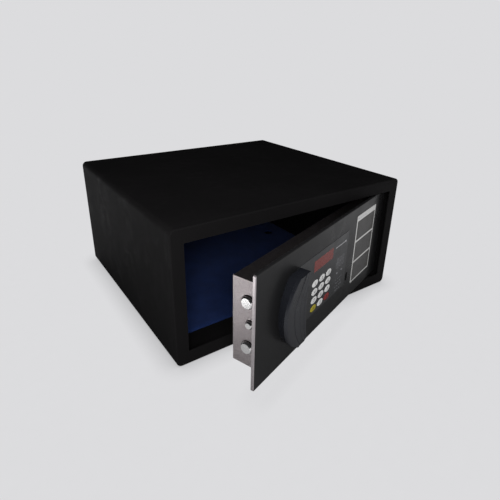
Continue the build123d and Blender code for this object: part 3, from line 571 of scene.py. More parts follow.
# %% Needle felt
def needle_felt(name, colour):
    """Felt of tangled fibres with a little lint on it."""
    material, tree, inputs = start_finish(name, colour, 0.95, Specular_IOR_Level=0.1,
                                          Sheen_Weight=0.03, Sheen_Roughness=0.5)
    where = object_space(tree)
    hairs = []
    for stretch in ((260.0, 1500.0, 700.0), (1500.0, 260.0, 700.0)):
        laid = add(tree, "ShaderNodeVectorMath", {0: where, 1: stretch}, operation="MULTIPLY")
        hairs.append(cloudy(tree, laid.outputs["Vector"], 1.0, 5.0, Distortion=1.2))
    tangle = sum_of(tree, "MAXIMUM", *hairs)
    clumps = cloudy(tree, where, 35.0, 4.0)
    mixed = sum_of(tree, "MULTIPLY_ADD", clumps, 0.6, tangle)
    fibre = tint(tree, spread(tree, mixed, 0.65, 1.05), shade(colour, 0.75), shade(colour, 1.25))
    lint = place(tree, settled_dust, Amount=0.003)
    tree.links.new(tint(tree, lint["Mask"], fibre, DUST_COLOUR), inputs["Base Color"])
    roughen(tree, inputs, clumps, 0.88, 1.0)
    emboss(tree, inputs, tangle, 0.0006)
    return material


mat_navy = needle_felt("mat_navy", (0.0110, 0.0240, 0.0900))
print("felt:", mat_navy.name)

# %% [markdown]
# Inside the door are things a guest sees only on a service day: a green circuit board with
# copper tracks under its lacquer, and cells in shrink wrap with a coloured band.

# %% Circuit board and cell wrap
def circuit_board(name, lacquer, track):
    """Green lacquer over copper tracks."""
    material, tree, inputs = start_finish(name, lacquer, 0.25, Specular_IOR_Level=0.5)
    where = object_space(tree)
    tracks = add(tree, "ShaderNodeTexVoronoi", {"Vector": where, "Scale": 160.0},
                 feature="DISTANCE_TO_EDGE", distance="EUCLIDEAN")
    line = spread(tree, tracks.outputs["Distance"], 0.06, 0.09)
    marks = place(tree, finger_marks)
    tree.links.new(tint(tree, line, track, lacquer), inputs["Base Color"])
    roughen(tree, inputs, marks["Mask"], 0.25, 0.4)
    emboss(tree, inputs, line, 0.00003)
    return material


def cell_wrapper(name, colour, band):
    """Shrink wrap with a coloured band round each cell."""
    material, tree, inputs = start_finish(name, colour, 0.22, Specular_IOR_Level=0.5)
    where = object_space(tree)
    upward = add(tree, "ShaderNodeSeparateXYZ", {0: where}).outputs["Z"]
    rings = sum_of(tree, "PINGPONG", upward, 0.025)
    marks = place(tree, finger_marks, Marks_per_metre=90.0)
    tree.links.new(tint(tree, spread(tree, rings, 0.0165, 0.0170), colour, band), inputs["Base Color"])
    roughen(tree, inputs, marks["Mask"], 0.22, 0.36)
    emboss(tree, inputs, place(tree, mould_grain, Cells_per_metre=500.0)["Height"], 0.00004)
    return material


board_green = circuit_board("board_green", (0.010, 0.085, 0.030), (0.030, 0.17, 0.060))
cell_wrap = cell_wrapper("cell_wrap", (0.03, 0.03, 0.034), (0.45, 0.26, 0.05))
print("inside the door:", board_green.name, cell_wrap.name)

# %% [markdown]
# ## Finishing the parts that keep their shape
# The record names a finish for every part, and each finish above has that same name. Handing
# them out is one loop, so no steel part can be forgotten.

# %% Hand out the finishes
FINISHES = {
    finish.name: finish
    for finish in (body_black, door_charcoal, box_grey, bolt_chrome, pin_steel, slide_zinc, lock_brass,
                   lock_black, handle_blue_black, fascia_charcoal, module_black, gear_white, key_white,
                   key_yellow, key_red, label_silver, window_red, mat_navy, board_green, cell_wrap)
}
for part in frame["record"]["subparts"]:
    frame["nodes"][part["node"]].material_slots[0].material = FINISHES[part["material_slot"]]

# %% [markdown]
# ## Mesh helpers
# A mesh, a lamp or a camera shows only when an object holds it and a collection holds the object.
# Most of the finer pieces are either a flat outline with a thickness or a row of rings joined
# into a skin. Two short functions in bmesh cover both. A third turns the result into a piece
# that has a finish, swings with the door, and rides on its body.

# %% Into the scene
def into_scene(name, data):
    """A new object in the scene that holds the data."""
    made = bpy.data.objects.new(name, data)
    bpy.context.scene.collection.objects.link(made)
    return made


# %% Outlines
def rounded_rectangle(left, right, low, high, radius, steps=5):
    """Points round a rectangle with round corners."""
    corners = ((right - radius, high - radius, 0), (left + radius, high - radius, 90),
               (left + radius, low + radius, 180), (right - radius, low + radius, 270))
    points = []
    for x, z, start in corners:
        for step in range(steps + 1):
            angle = radians(start + 90 * step / steps)
            points.append((x + radius * cos(angle), z + radius * sin(angle)))
    return points


def oval(x, z, half_wide, half_tall, steps=48):
    """Points round an ellipse."""
    turns = [2 * pi * step / steps for step in range(steps)]
    return [(x + half_wide * cos(turn), z + half_tall * sin(turn)) for turn in turns]


def bar_print(left, right, low, high):
    """Four corners of a plain bar."""
    return [(left, low), (right, low), (right, high), (left, high)]


# %% Prisms, lofts and pieces
def add_prism(shape, outline, front, back):
    """Adds a flat piece with that outline in X and Z, from front to back along Y."""
    ends = [[shape.verts.new((x, y, z)) for x, z in outline] for y in (front, back)]
    shape.faces.new(ends[0])
    shape.faces.new(list(reversed(ends[1])))
    for index in range(len(outline)):
        after = (index + 1) % len(outline)
        shape.faces.new((ends[0][index], ends[1][index], ends[1][after], ends[0][after]))


def add_loft(shape, rings):
    """Joins rings of points, which all have the same count, into a closed skin."""
    rows = [[shape.verts.new(point) for point in ring] for ring in rings]
    for row, above in zip(rows, rows[1:]):
        for index in range(len(row)):
            after = (index + 1) % len(row)
            shape.faces.new((row[index], row[after], above[after], above[index]))
    shape.faces.new(list(reversed(rows[0])))
    shape.faces.new(rows[-1])


def finish_piece(name, shape, material, body, stands_for=(), placed=OPENED, sharp=35, soften=0.0):
    """Turns a bmesh into a piece of the safe."""
    bmesh.ops.recalc_face_normals(shape, faces=shape.faces)
    mesh = bpy.data.meshes.new(name)
    shape.to_mesh(mesh)
    shape.free()
    mesh.shade_smooth()
    mesh.set_sharp_from_angle(angle=radians(sharp))
    mesh.materials.append(material)
    piece = into_scene(name, mesh)
    piece.matrix_world = placed
    if soften:
        edge = piece.modifiers.new("softened edge", "BEVEL")
        edge.width = soften
        edge.segments = 3
        edge.limit_method = "ANGLE"
        edge.angle_limit = radians(sharp)
        edge.harden_normals = True
    bpy.context.view_layer.update()
    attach(piece, body)
    if stands_for:
        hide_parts(*stands_for)
    return piece


# %% [markdown]
# ## The crescent grip
# The grip is a moulded crescent screwed on from behind. Seen from the front it lies between two
# arcs; its left wall flares outwards so that fingers can pull behind it, and shallow ridges fan
# out over its face from the upper right corner. Ruled rows from the left arc to the right arc
# follow the crescent, and each row is one cross-section, which makes the ridges easy to steer.

# %% Grip outline
GRIP_LOW, GRIP_HIGH = shut_box("pull_handle")
grip_size = GRIP_HIGH - GRIP_LOW
GRIP_FLARE = 4.5 * MM            # the face overhangs the foot by this much on the left
GRIP_TOP_LEFT = 0.482            # places across the grip, as shares of its width
GRIP_RIGHT_MIDDLE = 0.898
GRIP_LOW_LEFT = 0.556
GRIP_TOP_RIGHT = 0.963
GRIP_TOE = 6.0 * MM
GRIP_ROWS = 72


def across_grip(share):
    """The X at a share of the grip's width."""
    return GRIP_LOW.x + share * grip_size.x


def arc_through(first, middle, last, steps):
    """Evenly spaced points on the circle through three points."""
    (ax, ay), (bx, by), (cx, cy) = first, middle, last
    doubled = 2 * (ax * (by - cy) + bx * (cy - ay) + cx * (ay - by))
    squares = (ax * ax + ay * ay, bx * bx + by * by, cx * cx + cy * cy)
    x = (squares[0] * (by - cy) + squares[1] * (cy - ay) + squares[2] * (ay - by)) / doubled
    y = (squares[0] * (cx - bx) + squares[1] * (ax - cx) + squares[2] * (bx - ax)) / doubled
    radius = hypot(ax - x, ay - y)
    start = atan2(ay - y, ax - x)
    turn = (atan2(cy - y, cx - x) - start + pi) % (2 * pi) - pi
    return [(x + radius * cos(start + turn * step / steps), y + radius * sin(start + turn * step / steps))
            for step in range(steps + 1)]


def even_steps(points, count):
    """The same line as count evenly spaced points."""
    lengths = [0.0]
    for first, second in zip(points, points[1:]):
        lengths.append(lengths[-1] + hypot(second[0] - first[0], second[1] - first[1]))
    spaced = []
    segment = 0
    for step in range(count):
        target = lengths[-1] * step / (count - 1)
        while segment < len(points) - 2 and lengths[segment + 1] < target:
            segment += 1
        share = (target - lengths[segment]) / (lengths[segment + 1] - lengths[segment])
        spaced.append(tuple(a + share * (b - a) for a, b in zip(points[segment], points[segment + 1])))
    return spaced


grip_middle = (GRIP_LOW.z + GRIP_HIGH.z) / 2
toe_centre = (GRIP_HIGH.x - GRIP_TOE, GRIP_LOW.z + GRIP_TOE)
toe = [(toe_centre[0] + GRIP_TOE * cos(radians(turn)), toe_centre[1] - GRIP_TOE * sin(radians(turn)))
       for turn in range(0, 91, 10)]
right_arc = arc_through((across_grip(GRIP_TOP_RIGHT), GRIP_HIGH.z),
                        (across_grip(GRIP_RIGHT_MIDDLE), grip_middle),
                        (GRIP_HIGH.x, GRIP_LOW.z + GRIP_TOE), 60)
grip_right = even_steps(right_arc + toe[1:], GRIP_ROWS)
grip_left = {}
for level, flare in (("foot", GRIP_FLARE), ("face", 0.0)):
    bulge = (GRIP_LOW.x + flare, grip_middle)
    arc = arc_through((across_grip(GRIP_TOP_LEFT), GRIP_HIGH.z), bulge,
                      (across_grip(GRIP_LOW_LEFT), GRIP_LOW.z), 90)
    grip_left[level] = even_steps(arc, GRIP_ROWS)
print("grip", [round(v * 1000, 1) for v in grip_size], "mm")

# %% [markdown]
# The ridges are steps in how far the face stands out. Each is a crease at a share of the row's
# width. Near the top all creases gather at the right corner, and a smooth ramp lets them fan
# out to their own shares by mid height.

# %% Grip cross-sections
GRIP_ROUND = 3.4 * MM            # rounding from the flared wall to the face
GRIP_STEP = 0.55 * MM            # depth of a ridge
GRIP_GROOVE = 0.6 * MM
CREASES = ((0.40, 0.62), (0.66, 0.86), (0.86, 1.02))   # share at mid height, share at the top
FAN_OUT = 0.42                   # share of the height in which the creases fan out
CREASE_HALF = 0.02               # this and the next two are shares of the row's width
GROOVE_HALF = 0.035
LEAST_SPAN = 0.05
WALL_SHARE = 0.86                # the straight part of the flared wall
CROWN = 0.8 * MM
WALL_STEPS = 8
FACE_COLUMNS = 64
FAR_WALL_STEPS = 4
FAR_ROUND = 0.35                 # the far corner's rounding, as a share of GRIP_ROUND


def ramp(value):
    """A smooth rise from 0 to 1."""
    value = max(0.0, min(1.0, value))
    return value * value * (3 - 2 * value)


def sink_at(share, down):
    """How far the face lies behind the grip's highest point, across and down the grip."""
    fan = ramp(down / FAN_OUT)
    first, second, groove = (top + (middle - top) * fan for middle, top in CREASES)
    sink = GRIP_STEP * 0.55 * ramp((share - first + CREASE_HALF) / (2 * CREASE_HALF))
    sink += GRIP_STEP * 0.8 * (max(0.0, share - first) / max(LEAST_SPAN, second - first)) * (share < second)
    sink += GRIP_STEP * 0.25 * (share >= second)
    sink += GRIP_GROOVE * max(0.0, 1 - abs(share - groove) / GROOVE_HALF)
    crown = CROWN * (2 * min(share / max(first, LEAST_SPAN), 1.0) - 1) ** 2 * (share < first)
    return sink + crown


def grip_row(index):
    """One row of points from the plate, up the flared wall, over the face and down the right wall."""
    foot, face, right = grip_left["foot"][index], grip_left["face"][index], grip_right[index]
    down = index / (GRIP_ROWS - 1)
    front, back = GRIP_LOW.y, GRIP_HIGH.y
    points = []
    for step in range(WALL_STEPS + 1):
        share = step / WALL_STEPS * WALL_SHARE
        points.append((foot[0] + share * (face[0] - foot[0]), back + share * (front - back),
                       foot[1] + share * (face[1] - foot[1])))
    wide = hypot(right[0] - face[0], right[1] - face[1])
    for step in range(FACE_COLUMNS + 1):
        share = step / FACE_COLUMNS
        from_edge = min(share, 1 - share) * wide
        corner = GRIP_ROUND if share < 0.5 else GRIP_ROUND * FAR_ROUND
        inside = max(0.0, 1 - from_edge / corner)
        dip = corner * (1 - (1 - inside * inside) ** 0.5)
        points.append((face[0] + share * (right[0] - face[0]), front + dip + sink_at(share, down),
                       face[1] + share * (right[1] - face[1])))
    for step in range(1, FAR_WALL_STEPS + 1):
        points.append((right[0], points[-1][1] + (back - points[-1][1]) * step / FAR_WALL_STEPS, right[1]))
    return points


# %% Grip skin
grip_shape = bmesh.new()
grip_rows = [[grip_shape.verts.new(point) for point in grip_row(index)] for index in range(GRIP_ROWS)]
for row, below in zip(grip_rows, grip_rows[1:]):
    for index in range(len(row) - 1):
        grip_shape.faces.new((row[index], row[index + 1], below[index + 1], below[index]))
    grip_shape.faces.new((row[-1], row[0], below[0], below[-1]))
grip_shape.faces.new(list(reversed(grip_rows[0])))
grip_shape.faces.new(grip_rows[-1])
grip = finish_piece("crescent_grip", grip_shape, handle_blue_black, "door",
                    ["pull_handle"], sharp=48, soften=0.5 * MM)
print("grip skin:", len(grip.data.vertices), "points")

# %% [markdown]
# ## The keys
# A key is a shallow oval cap on a flange that keeps it from falling out, with a stem that presses
# the switch. The cap's face is slightly crowned so that a fingertip centres on it. Rings of the
# same oval, each with its own scale and depth, make the whole key as one loft.

# %% Key caps
KEY_FLANGE = 0.9 * MM            # flange beyond the cap, each side
KEY_FLANGE_THICK = 1.0 * MM
KEY_STEM = 1.7 * MM
KEY_STEM_WIDE = 2.5 * MM
KEY_CROWN = ((1.0, 0.62), (0.985, 0.42), (0.955, 0.27), (0.90, 0.17), (0.80, 0.10), (0.60, 0.04),
             (0.30, 0.0))        # share of the oval, and millimetres behind the highest point


def key_cap(node, body, material):
    """A crowned key cap with its flange and stem, in place of the plain one."""
    low, high = shut_box(node)
    x, z = (low.x + high.x) / 2, (low.z + high.z) / 2
    wide, tall = (high.x - low.x) / 2, (high.z - low.z) / 2
    cap_wide, cap_tall = wide - KEY_FLANGE, tall - KEY_FLANGE
    flange_back = high.y - KEY_STEM
    flange_front = flange_back - KEY_FLANGE_THICK
    rings = [(KEY_STEM_WIDE, KEY_STEM_WIDE, high.y), (KEY_STEM_WIDE, KEY_STEM_WIDE, flange_back),
             (wide, tall, flange_back), (wide, tall, flange_front), (cap_wide, cap_tall, flange_front)]
    rings += [(cap_wide * share, cap_tall * share, low.y + depth * MM) for share, depth in KEY_CROWN]
    shape = bmesh.new()
    add_loft(shape, [[(px, y, pz) for px, pz in oval(x, z, half_wide, half_tall)]
                     for half_wide, half_tall, y in rings])
    finish_piece("cap_" + node, shape, material, body, [node], sharp=50)
    return x, low.y, z


KEY_SIGNS = {str(digit): str(digit) for digit in range(10)}
KEY_SIGNS.update({"clear": "*", "lock": "#"})
key_faces = {}
for key in KEY_SIGNS:
    key_slot = {"clear": "key_yellow", "lock": "key_red"}.get(key, "key_white")
    key_faces[key] = key_cap("key_" + key, "button_" + key, FINISHES[key_slot])
print("keys:", len(key_faces))

# %% [markdown]
# The signs on the keys are plain digits, a star and a hash, as on any keypad. They are printed,
# so each is Blender's own text turned into a film that sinks a little into the crowned face.

# %% Key signs
SIGN_SIZE = 7.0 * MM
SIGN_FILM = 0.10 * MM
SIGN_PROUD = 0.035 * MM


def text_mesh(sign, size, film):
    """A sign as a mesh lying in X and Z, centred, facing the front."""
    words = bpy.data.curves.new("sign", "FONT")
    words.body = sign
    words.size = size
    words.extrude = film / 2
    words.align_x = "CENTER"
    words.resolution_u = 6
    holder = into_scene("sign", words)
    bpy.context.view_layer.update()
    mesh = bpy.data.meshes.new_from_object(holder)
    bpy.data.objects.remove(holder)
    bpy.data.curves.remove(words)
    heights = [vertex.co.y for vertex in mesh.vertices]
    middle = (min(heights) + max(heights)) / 2
    mesh.transform(Matrix.Rotation(radians(90), 4, "X") @ Matrix.Translation((0, -middle, 0)))
    shape = bmesh.new()
    shape.from_mesh(mesh)
    bpy.data.meshes.remove(mesh)
    bmesh.ops.remove_doubles(shape, verts=shape.verts, dist=0.00001)
    return shape


for key, sign in KEY_SIGNS.items():
    x, front, z = key_faces[key]
    shape = text_mesh(sign, SIGN_SIZE, SIGN_FILM)
    shape.transform(Matrix.Translation((x, front + SIGN_FILM / 2 - SIGN_PROUD, z)))
    finish_piece("sign_" + key, shape, dark_ink, "button_" + key)
print("signs printed on", len(KEY_SIGNS), "keys")

# %% [markdown]
# ## The display
# Behind the red window lies a black module with four digits of seven bars. Each bar is a slim
# hexagon, and a loop over four digits and seven places lays out all twenty-eight.

# %% Seven-bar digits
MODULE_LOW, MODULE_HIGH = shut_box("display_module")
DIGIT_COUNT = 4
DIGIT_WIDE = 5.6 * MM
DIGIT_TALL = 10.4 * MM
DIGIT_PITCH = 11.5 * MM
BAR = 0.55 * MM                  # half the width of a bar
BAR_FILM = 0.15 * MM
BAR_SHARE = 0.92                 # bars stop short of one another


def bar_outline(x, z, half_long, upright):
    """A slim hexagon, lying or upright."""
    points = [(-half_long, 0), (-half_long + BAR, BAR), (half_long - BAR, BAR),
              (half_long, 0), (half_long - BAR, -BAR), (-half_long + BAR, -BAR)]
    return [(x - b, z + a) if upright else (x + a, z + b) for a, b in points]


digit_shape = bmesh.new()
module_x = (MODULE_LOW.x + MODULE_HIGH.x) / 2
module_z = (MODULE_LOW.z + MODULE_HIGH.z) / 2
for digit in range(DIGIT_COUNT):
    x = module_x + (digit - (DIGIT_COUNT - 1) / 2) * DIGIT_PITCH
    bars = [(0, rise, DIGIT_WIDE / 2, False) for rise in (-DIGIT_TALL / 2, 0, DIGIT_TALL / 2)]
    bars += [(side * DIGIT_WIDE / 2, rise * DIGIT_TALL / 4, DIGIT_TALL / 4, True)
             for side in (-1, 1) for rise in (-1, 1)]
    for shift, rise, half_long, upright in bars:
        outline = bar_outline(x + shift, module_z + rise, half_long * BAR_SHARE, upright)
        add_prism(digit_shape, outline, MODULE_LOW.y - BAR_FILM, MODULE_LOW.y + BAR_FILM / 2)
finish_piece("display_digits", digit_shape, segment_red, "door")
print("display bars:", DIGIT_COUNT * 7)

# %% [markdown]
# ## Cutting holes
# Holes are simplest as a Boolean: build the blank, build a cutter, subtract, and throw the cutter
# away. The result comes back as a bmesh, so that it goes through the same finishing call.

# %% Cut one shape from another
def carved(shape, cutter):
    """The first bmesh with the second cut out of it."""
    objects = []
    for name, form in (("blank", shape), ("cutter", cutter)):
        bmesh.ops.recalc_face_normals(form, faces=form.faces)
        mesh = bpy.data.meshes.new(name)
        form.to_mesh(mesh)
        form.free()
        objects.append(into_scene(name, mesh))
    cut = objects[0].modifiers.new("cut", "BOOLEAN")
    cut.operation = "DIFFERENCE"
    cut.solver = "EXACT"
    cut.object = objects[1]
    bpy.context.view_layer.update()
    graph = bpy.context.evaluated_depsgraph_get()
    result_mesh = bpy.data.meshes.new_from_object(objects[0].evaluated_get(graph))
    result_shape = bmesh.new()
    result_shape.from_mesh(result_mesh)
    for leftover in objects:
        bpy.data.objects.remove(leftover)
    bpy.data.meshes.remove(result_mesh)
    return result_shape


# %% [markdown]
# ## The keypad film and the display window
# The moulded fascia sits back in the door leaf. A thick printed film fills the recess and laps
# over the leaf on three sides; only along its top does it stop short, which leaves a dark line.
# It is one loft with a lip, with an oval hole for each key and a square one for the display.

# %% Keypad film
FASCIA_LOW, FASCIA_HIGH = shut_box("keypad_fascia")
WINDOW_LOW, WINDOW_HIGH = shut_box("display_window")
FASCIA_LIP = 3.5 * MM            # lips of the moulding that hide behind the leaf
FILM_LAP = 0.8 * MM
FILM_SHORT = 0.7 * MM            # bare line along the top
FILM_PROUD = 0.06 * MM
FILM_CORNER = 1.0 * MM
KEY_PLAY = 0.35 * MM
film_front = PLATE_LOW.y - FILM_PROUD
film_lip = PLATE_LOW.y - FILM_PROUD / 6
film_back = WINDOW_LOW.y
film_low, film_high = FASCIA_LOW.z + FASCIA_LIP, FASCIA_HIGH.z - FASCIA_LIP - FILM_SHORT


def film_ring(lap, y):
    """The film's outline at one depth, with its lap over the leaf."""
    outline = rounded_rectangle(FASCIA_LOW.x - lap, FASCIA_HIGH.x + lap, film_low - lap, film_high,
                                FILM_CORNER)
    return [(x, y, z) for x, z in outline]


film_shape, film_holes = bmesh.new(), bmesh.new()
add_loft(film_shape, [film_ring(FILM_LAP, film_front), film_ring(FILM_LAP, film_lip),
                      film_ring(0.0, film_lip), film_ring(0.0, film_back)])
for key in KEY_SIGNS:
    x, front, z = key_faces[key]
    key_low, key_high = shut_box("key_" + key)
    half_wide = (key_high.x - key_low.x) / 2 - KEY_FLANGE + KEY_PLAY
    half_tall = (key_high.z - key_low.z) / 2 - KEY_FLANGE + KEY_PLAY
    add_prism(film_holes, oval(x, z, half_wide, half_tall), film_front - MM, film_back + MM)
add_prism(film_holes, bar_print(WINDOW_LOW.x, WINDOW_HIGH.x, WINDOW_LOW.z, WINDOW_HIGH.z),
          film_front - MM, film_back + MM)
finish_piece("keypad_film", carved(film_shape, film_holes), fascia_charcoal, "door")
print("keypad film", round((FASCIA_HIGH.x - FASCIA_LOW.x) * 1000, 1), "mm wide")

# %% Display window
window_shape = bmesh.new()
add_prism(window_shape, rounded_rectangle(WINDOW_LOW.x, WINDOW_HIGH.x, WINDOW_LOW.z, WINDOW_HIGH.z, 0.4 * MM),
          film_front, WINDOW_HIGH.y)
finish_piece("red_window", window_shape, window_red, "door", ["display_window"],
             soften=0.1 * MM)
print("window", [round(v * 1000, 1) for v in WINDOW_HIGH - WINDOW_LOW], "mm")

# %% [markdown]
# ## Prints on the fascia
# To the right of the keys are two small lamps, a group of outline pictures that show how to use
# the safe, and a short white mark above. The pictures here are plain signs of this lesson's own:
# three upright tags with a bar across, and rows of small ticks. The mark is a row of dashes.

# %% Fascia prints
PRINT_FILM = 0.05 * MM
PRINT_SINK = 0.05 * MM           # how far a film reaches into what it is printed on


def print_film(name, outlines, material, front):
    """Flat films with those outlines, printed on a face."""
    shape = bmesh.new()
    for outline in outlines:
        add_prism(shape, outline, front - PRINT_FILM, front + PRINT_SINK)
    return finish_piece(name, shape, material, "door")


def frame_print(left, right, low, high, line):
    """Four bars round an empty rectangle."""
    return [bar_print(left, right, low, low + line), bar_print(left, right, high - line, high),
            bar_print(left, left + line, low + line, high - line),
            bar_print(right - line, right, low + line, high - line)]


key_right = key_faces["3"][0]
key_top = key_faces["3"][2]
PICTURE_LEFT = key_right + 26.0 * MM
PICTURE_PITCH = 9.0 * MM
PICTURE_LOW = key_top - 6.0 * MM
PICTURE_TALL = 16.0 * MM
PICTURE_WIDE = 5.4 * MM
PICTURE_STEP = 0.5 * MM          # each picture stands a little higher than the last
BAR_AT = 0.55                    # the bar across a picture, as a share of its height
LINE = 0.7 * MM
pictures = []
for column in range(3):
    left = PICTURE_LEFT + column * PICTURE_PITCH
    low = PICTURE_LOW + column * PICTURE_STEP
    across = low + PICTURE_TALL * BAR_AT
    pictures += frame_print(left, left + PICTURE_WIDE, low, low + PICTURE_TALL, LINE)
    pictures.append(bar_print(left - MM, left + PICTURE_WIDE + MM, across, across + LINE))
print_film("how_to_pictures", pictures, faint_ink, film_front)

TICK_LINES = 4
TICK_COUNT = 4                   # one less in every second line, which is set in
TICK_LONG = 3.4 * MM
TICK_TALL = LINE * 1.3
TICK_PITCH = 6.2 * MM
TICK_INSET = 2.5 * MM
TICK_DROP = 20.0 * MM
LINE_PITCH = 6.4 * MM
ticks = []
for row in range(TICK_LINES):
    for column in range(TICK_COUNT - row % 2):
        left = PICTURE_LEFT + column * TICK_PITCH + (row % 2) * TICK_INSET
        low = PICTURE_LOW - TICK_DROP - LINE_PITCH * row
        ticks.append(bar_print(left, left + TICK_LONG, low, low + TICK_TALL))
print_film("how_to_ticks", ticks, faint_ink, film_front)

MARK_LEFT = WINDOW_HIGH.x + 8.0 * MM
MARK_LOW = WINDOW_HIGH.z - 5.4 * MM
DASH_COUNT = 8
DASH_PITCH = 3.7 * MM
DASH_LONG = 2.6 * MM
DASH_TALL = 1.3 * MM
dash_lefts = [MARK_LEFT + step * DASH_PITCH for step in range(DASH_COUNT)]
dashes = [bar_print(left, left + DASH_LONG, MARK_LOW, MARK_LOW + DASH_TALL) for left in dash_lefts]
dashes.append(bar_print(MARK_LEFT + 31.0 * MM, MARK_LEFT + 34.5 * MM,
                        MARK_LOW - 0.4 * MM, MARK_LOW + 2.2 * MM))
print_film("white_dashes", dashes, pale_ink, film_front)
print("fascia prints:", len(pictures) + len(ticks) + len(dashes))

# %% [markdown]
# The two lamps beside the keys are small round lenses that stand just proud of the fascia. A
# lens is a short loft whose last rings shrink as a dome does.

# %% Status lamps
LAMP_R = 1.7 * MM
LAMP_DOME = 0.5 * MM
LAMP_PLACES = ((3.6, -8.6), (18.0, -8.0))   # millimetres from the pictures' lower left corner
lamp_shape = bmesh.new()
for right, up in LAMP_PLACES:
    x, z = PICTURE_LEFT + right * MM, PICTURE_LOW + up * MM
    rings = [(1.0, -PRINT_SINK)] + [(cos(radians(turn)), LAMP_DOME * sin(radians(turn)))
                                    for turn in range(0, 90, 15)]
    add_loft(lamp_shape, [[(px, film_front - rise, pz)
                           for px, pz in oval(x, z, LAMP_R * share, LAMP_R * share, 24)]
                          for share, rise in rings])
finish_piece("status_lamps", lamp_shape, faint_ink, "door", sharp=60)
print("lamps:", len(LAMP_PLACES))

# %% [markdown]
# ## The instruction plate
# A thin silver plate carries four header bars and three dark panels of small print. The panels are
# printed films on the plate, and the print is only rows of fine strokes of uneven length, which
# read as text from arm's length and say nothing.

# %% Instruction plate
LABEL_LOW, LABEL_HIGH = shut_box("instruction_label")
LABEL_BORDER = 3.0 * MM
LABEL_HEADER = 9.5 * MM
LABEL_DIVIDER = 3.4 * MM
PANEL_COUNT = 3
label_shape = bmesh.new()
add_prism(label_shape, rounded_rectangle(LABEL_LOW.x, LABEL_HIGH.x, LABEL_LOW.z, LABEL_HIGH.z, 1.0 * MM),
          LABEL_LOW.y, LABEL_HIGH.y)
finish_piece("instruction_plate", label_shape, label_silver, "door",
             ["instruction_label"], soften=0.12 * MM)

panel_left, panel_right = LABEL_LOW.x + LABEL_BORDER, LABEL_HIGH.x - LABEL_BORDER
panels_low, panels_high = LABEL_LOW.z + LABEL_BORDER, LABEL_HIGH.z - LABEL_HEADER
panel_tall = (panels_high - panels_low - (PANEL_COUNT - 1) * LABEL_DIVIDER) / PANEL_COUNT
panel_lows = [panels_low + step * (panel_tall + LABEL_DIVIDER) for step in range(PANEL_COUNT)]
panels = [rounded_rectangle(panel_left, panel_right, low, low + panel_tall, 0.6 * MM, 3)
          for low in panel_lows]
print_film("plate_panels", panels, panel_ink, LABEL_LOW.y)

STROKE_ROWS = 7
STROKE_TALL = 0.55 * MM
STROKE_INSET = 4.0 * MM
STROKE_GAP = 1.2 * MM
strokes = []
draw = Random(7)
for low in panel_lows:
    for row in range(STROKE_ROWS):
        z = low + panel_tall * (row + 1) / (STROKE_ROWS + 1)
        x = panel_left + STROKE_INSET
        end = panel_right - draw.uniform(6.0, 20.0) * MM
        while x < end:
            word = draw.uniform(2.0, 7.0) * MM
            strokes.append(bar_print(x, min(x + word, end), z, z + STROKE_TALL))
            x += word + STROKE_GAP
print_film("plate_small_print", strokes, faint_ink, LABEL_LOW.y - PRINT_FILM)

HEADER_BARS = 4
HEADER_PITCH = 8.4 * MM
HEADER_LONG = 6.4 * MM
HEADER_TALL = 2.2 * MM
header_z = LABEL_HIGH.z - LABEL_HEADER * 0.62
header_lefts = [panel_left + step * HEADER_PITCH for step in range(HEADER_BARS)]
header = [bar_print(left, left + HEADER_LONG, header_z, header_z + HEADER_TALL) for left in header_lefts]
print_film("plate_header", header, pale_ink, LABEL_LOW.y)
print("plate panels:", PANEL_COUNT, "strokes:", len(strokes))

# %% [markdown]
# ## Screws on the back cover
# The cover is held by four pan-head screws with a cross recess. The head is a loft of rings on a
# pan-shaped curve, and a bar with the outline of a cross cuts the recess. Two bars laid across one
# another would overlap in the cutter, and a Boolean can lose the whole piece over that.

# %% Cover screws
SCREW_HEAD_TALL = 1.8 * MM
SCREW_SHANK_R = 1.5 * MM
SCREW_HEAD_R = 3.0 * MM
RECESS_HALF = 1.75 * MM
RECESS_SLOT = 0.45 * MM
RECESS_DEEP = 1.1 * MM
PAN_DRAW_IN = 0.28               # how far the head's rim draws in towards its top
PAN_SIDE = 0.35                  # share of the head's height that is straight
SCREWS_LOW, SCREWS_HIGH = shut_box("cover_screws")


def cross_print(x, z, half, slot):
    """The twelve corners of an upright cross."""
    arm = ((slot, half), (slot, slot), (half, slot))
    corners = []
    for right, up in ((1, 1), (1, -1), (-1, -1), (-1, 1)):
        quarter = arm if right * up > 0 else arm[::-1]
        corners += [(x + right * wide, z + up * tall) for wide, tall in quarter]
    return corners


blanks, recesses = bmesh.new(), bmesh.new()
for x in (SCREWS_LOW.x + SCREW_HEAD_R, SCREWS_HIGH.x - SCREW_HEAD_R):
    for z in (SCREWS_LOW.z + SCREW_HEAD_R, SCREWS_HIGH.z - SCREW_HEAD_R):
        seat, top = SCREWS_HIGH.y - SCREW_HEAD_TALL, SCREWS_HIGH.y
        rings = [(SCREW_SHANK_R, SCREWS_LOW.y), (SCREW_SHANK_R, seat), (SCREW_HEAD_R, seat)]
        rings += [(SCREW_HEAD_R * (1 - PAN_DRAW_IN * (1 - cos(radians(turn)))),
                   seat + SCREW_HEAD_TALL * (PAN_SIDE + (1 - PAN_SIDE) * sin(radians(turn))))
                  for turn in range(0, 91, 15)]
        add_loft(blanks, [[(px, y, pz) for px, pz in oval(x, z, radius, radius, 32)]
                          for radius, y in rings])
        add_prism(recesses, cross_print(x, z, RECESS_HALF, RECESS_SLOT), top - RECESS_DEEP, top + MM)
finish_piece("pan_head_screws", carved(blanks, recesses), pin_steel, "door", ["cover_screws"])
print("screws on the cover: 4, millimetres across a head:", round(2 * SCREW_HEAD_R / MM, 1))

# %% [markdown]
# ## The battery door
# The cells are changed from the back of the open door. Their snap-in cover has seven raised grip
# ribs, so it can be told from the fixed cover by touch.

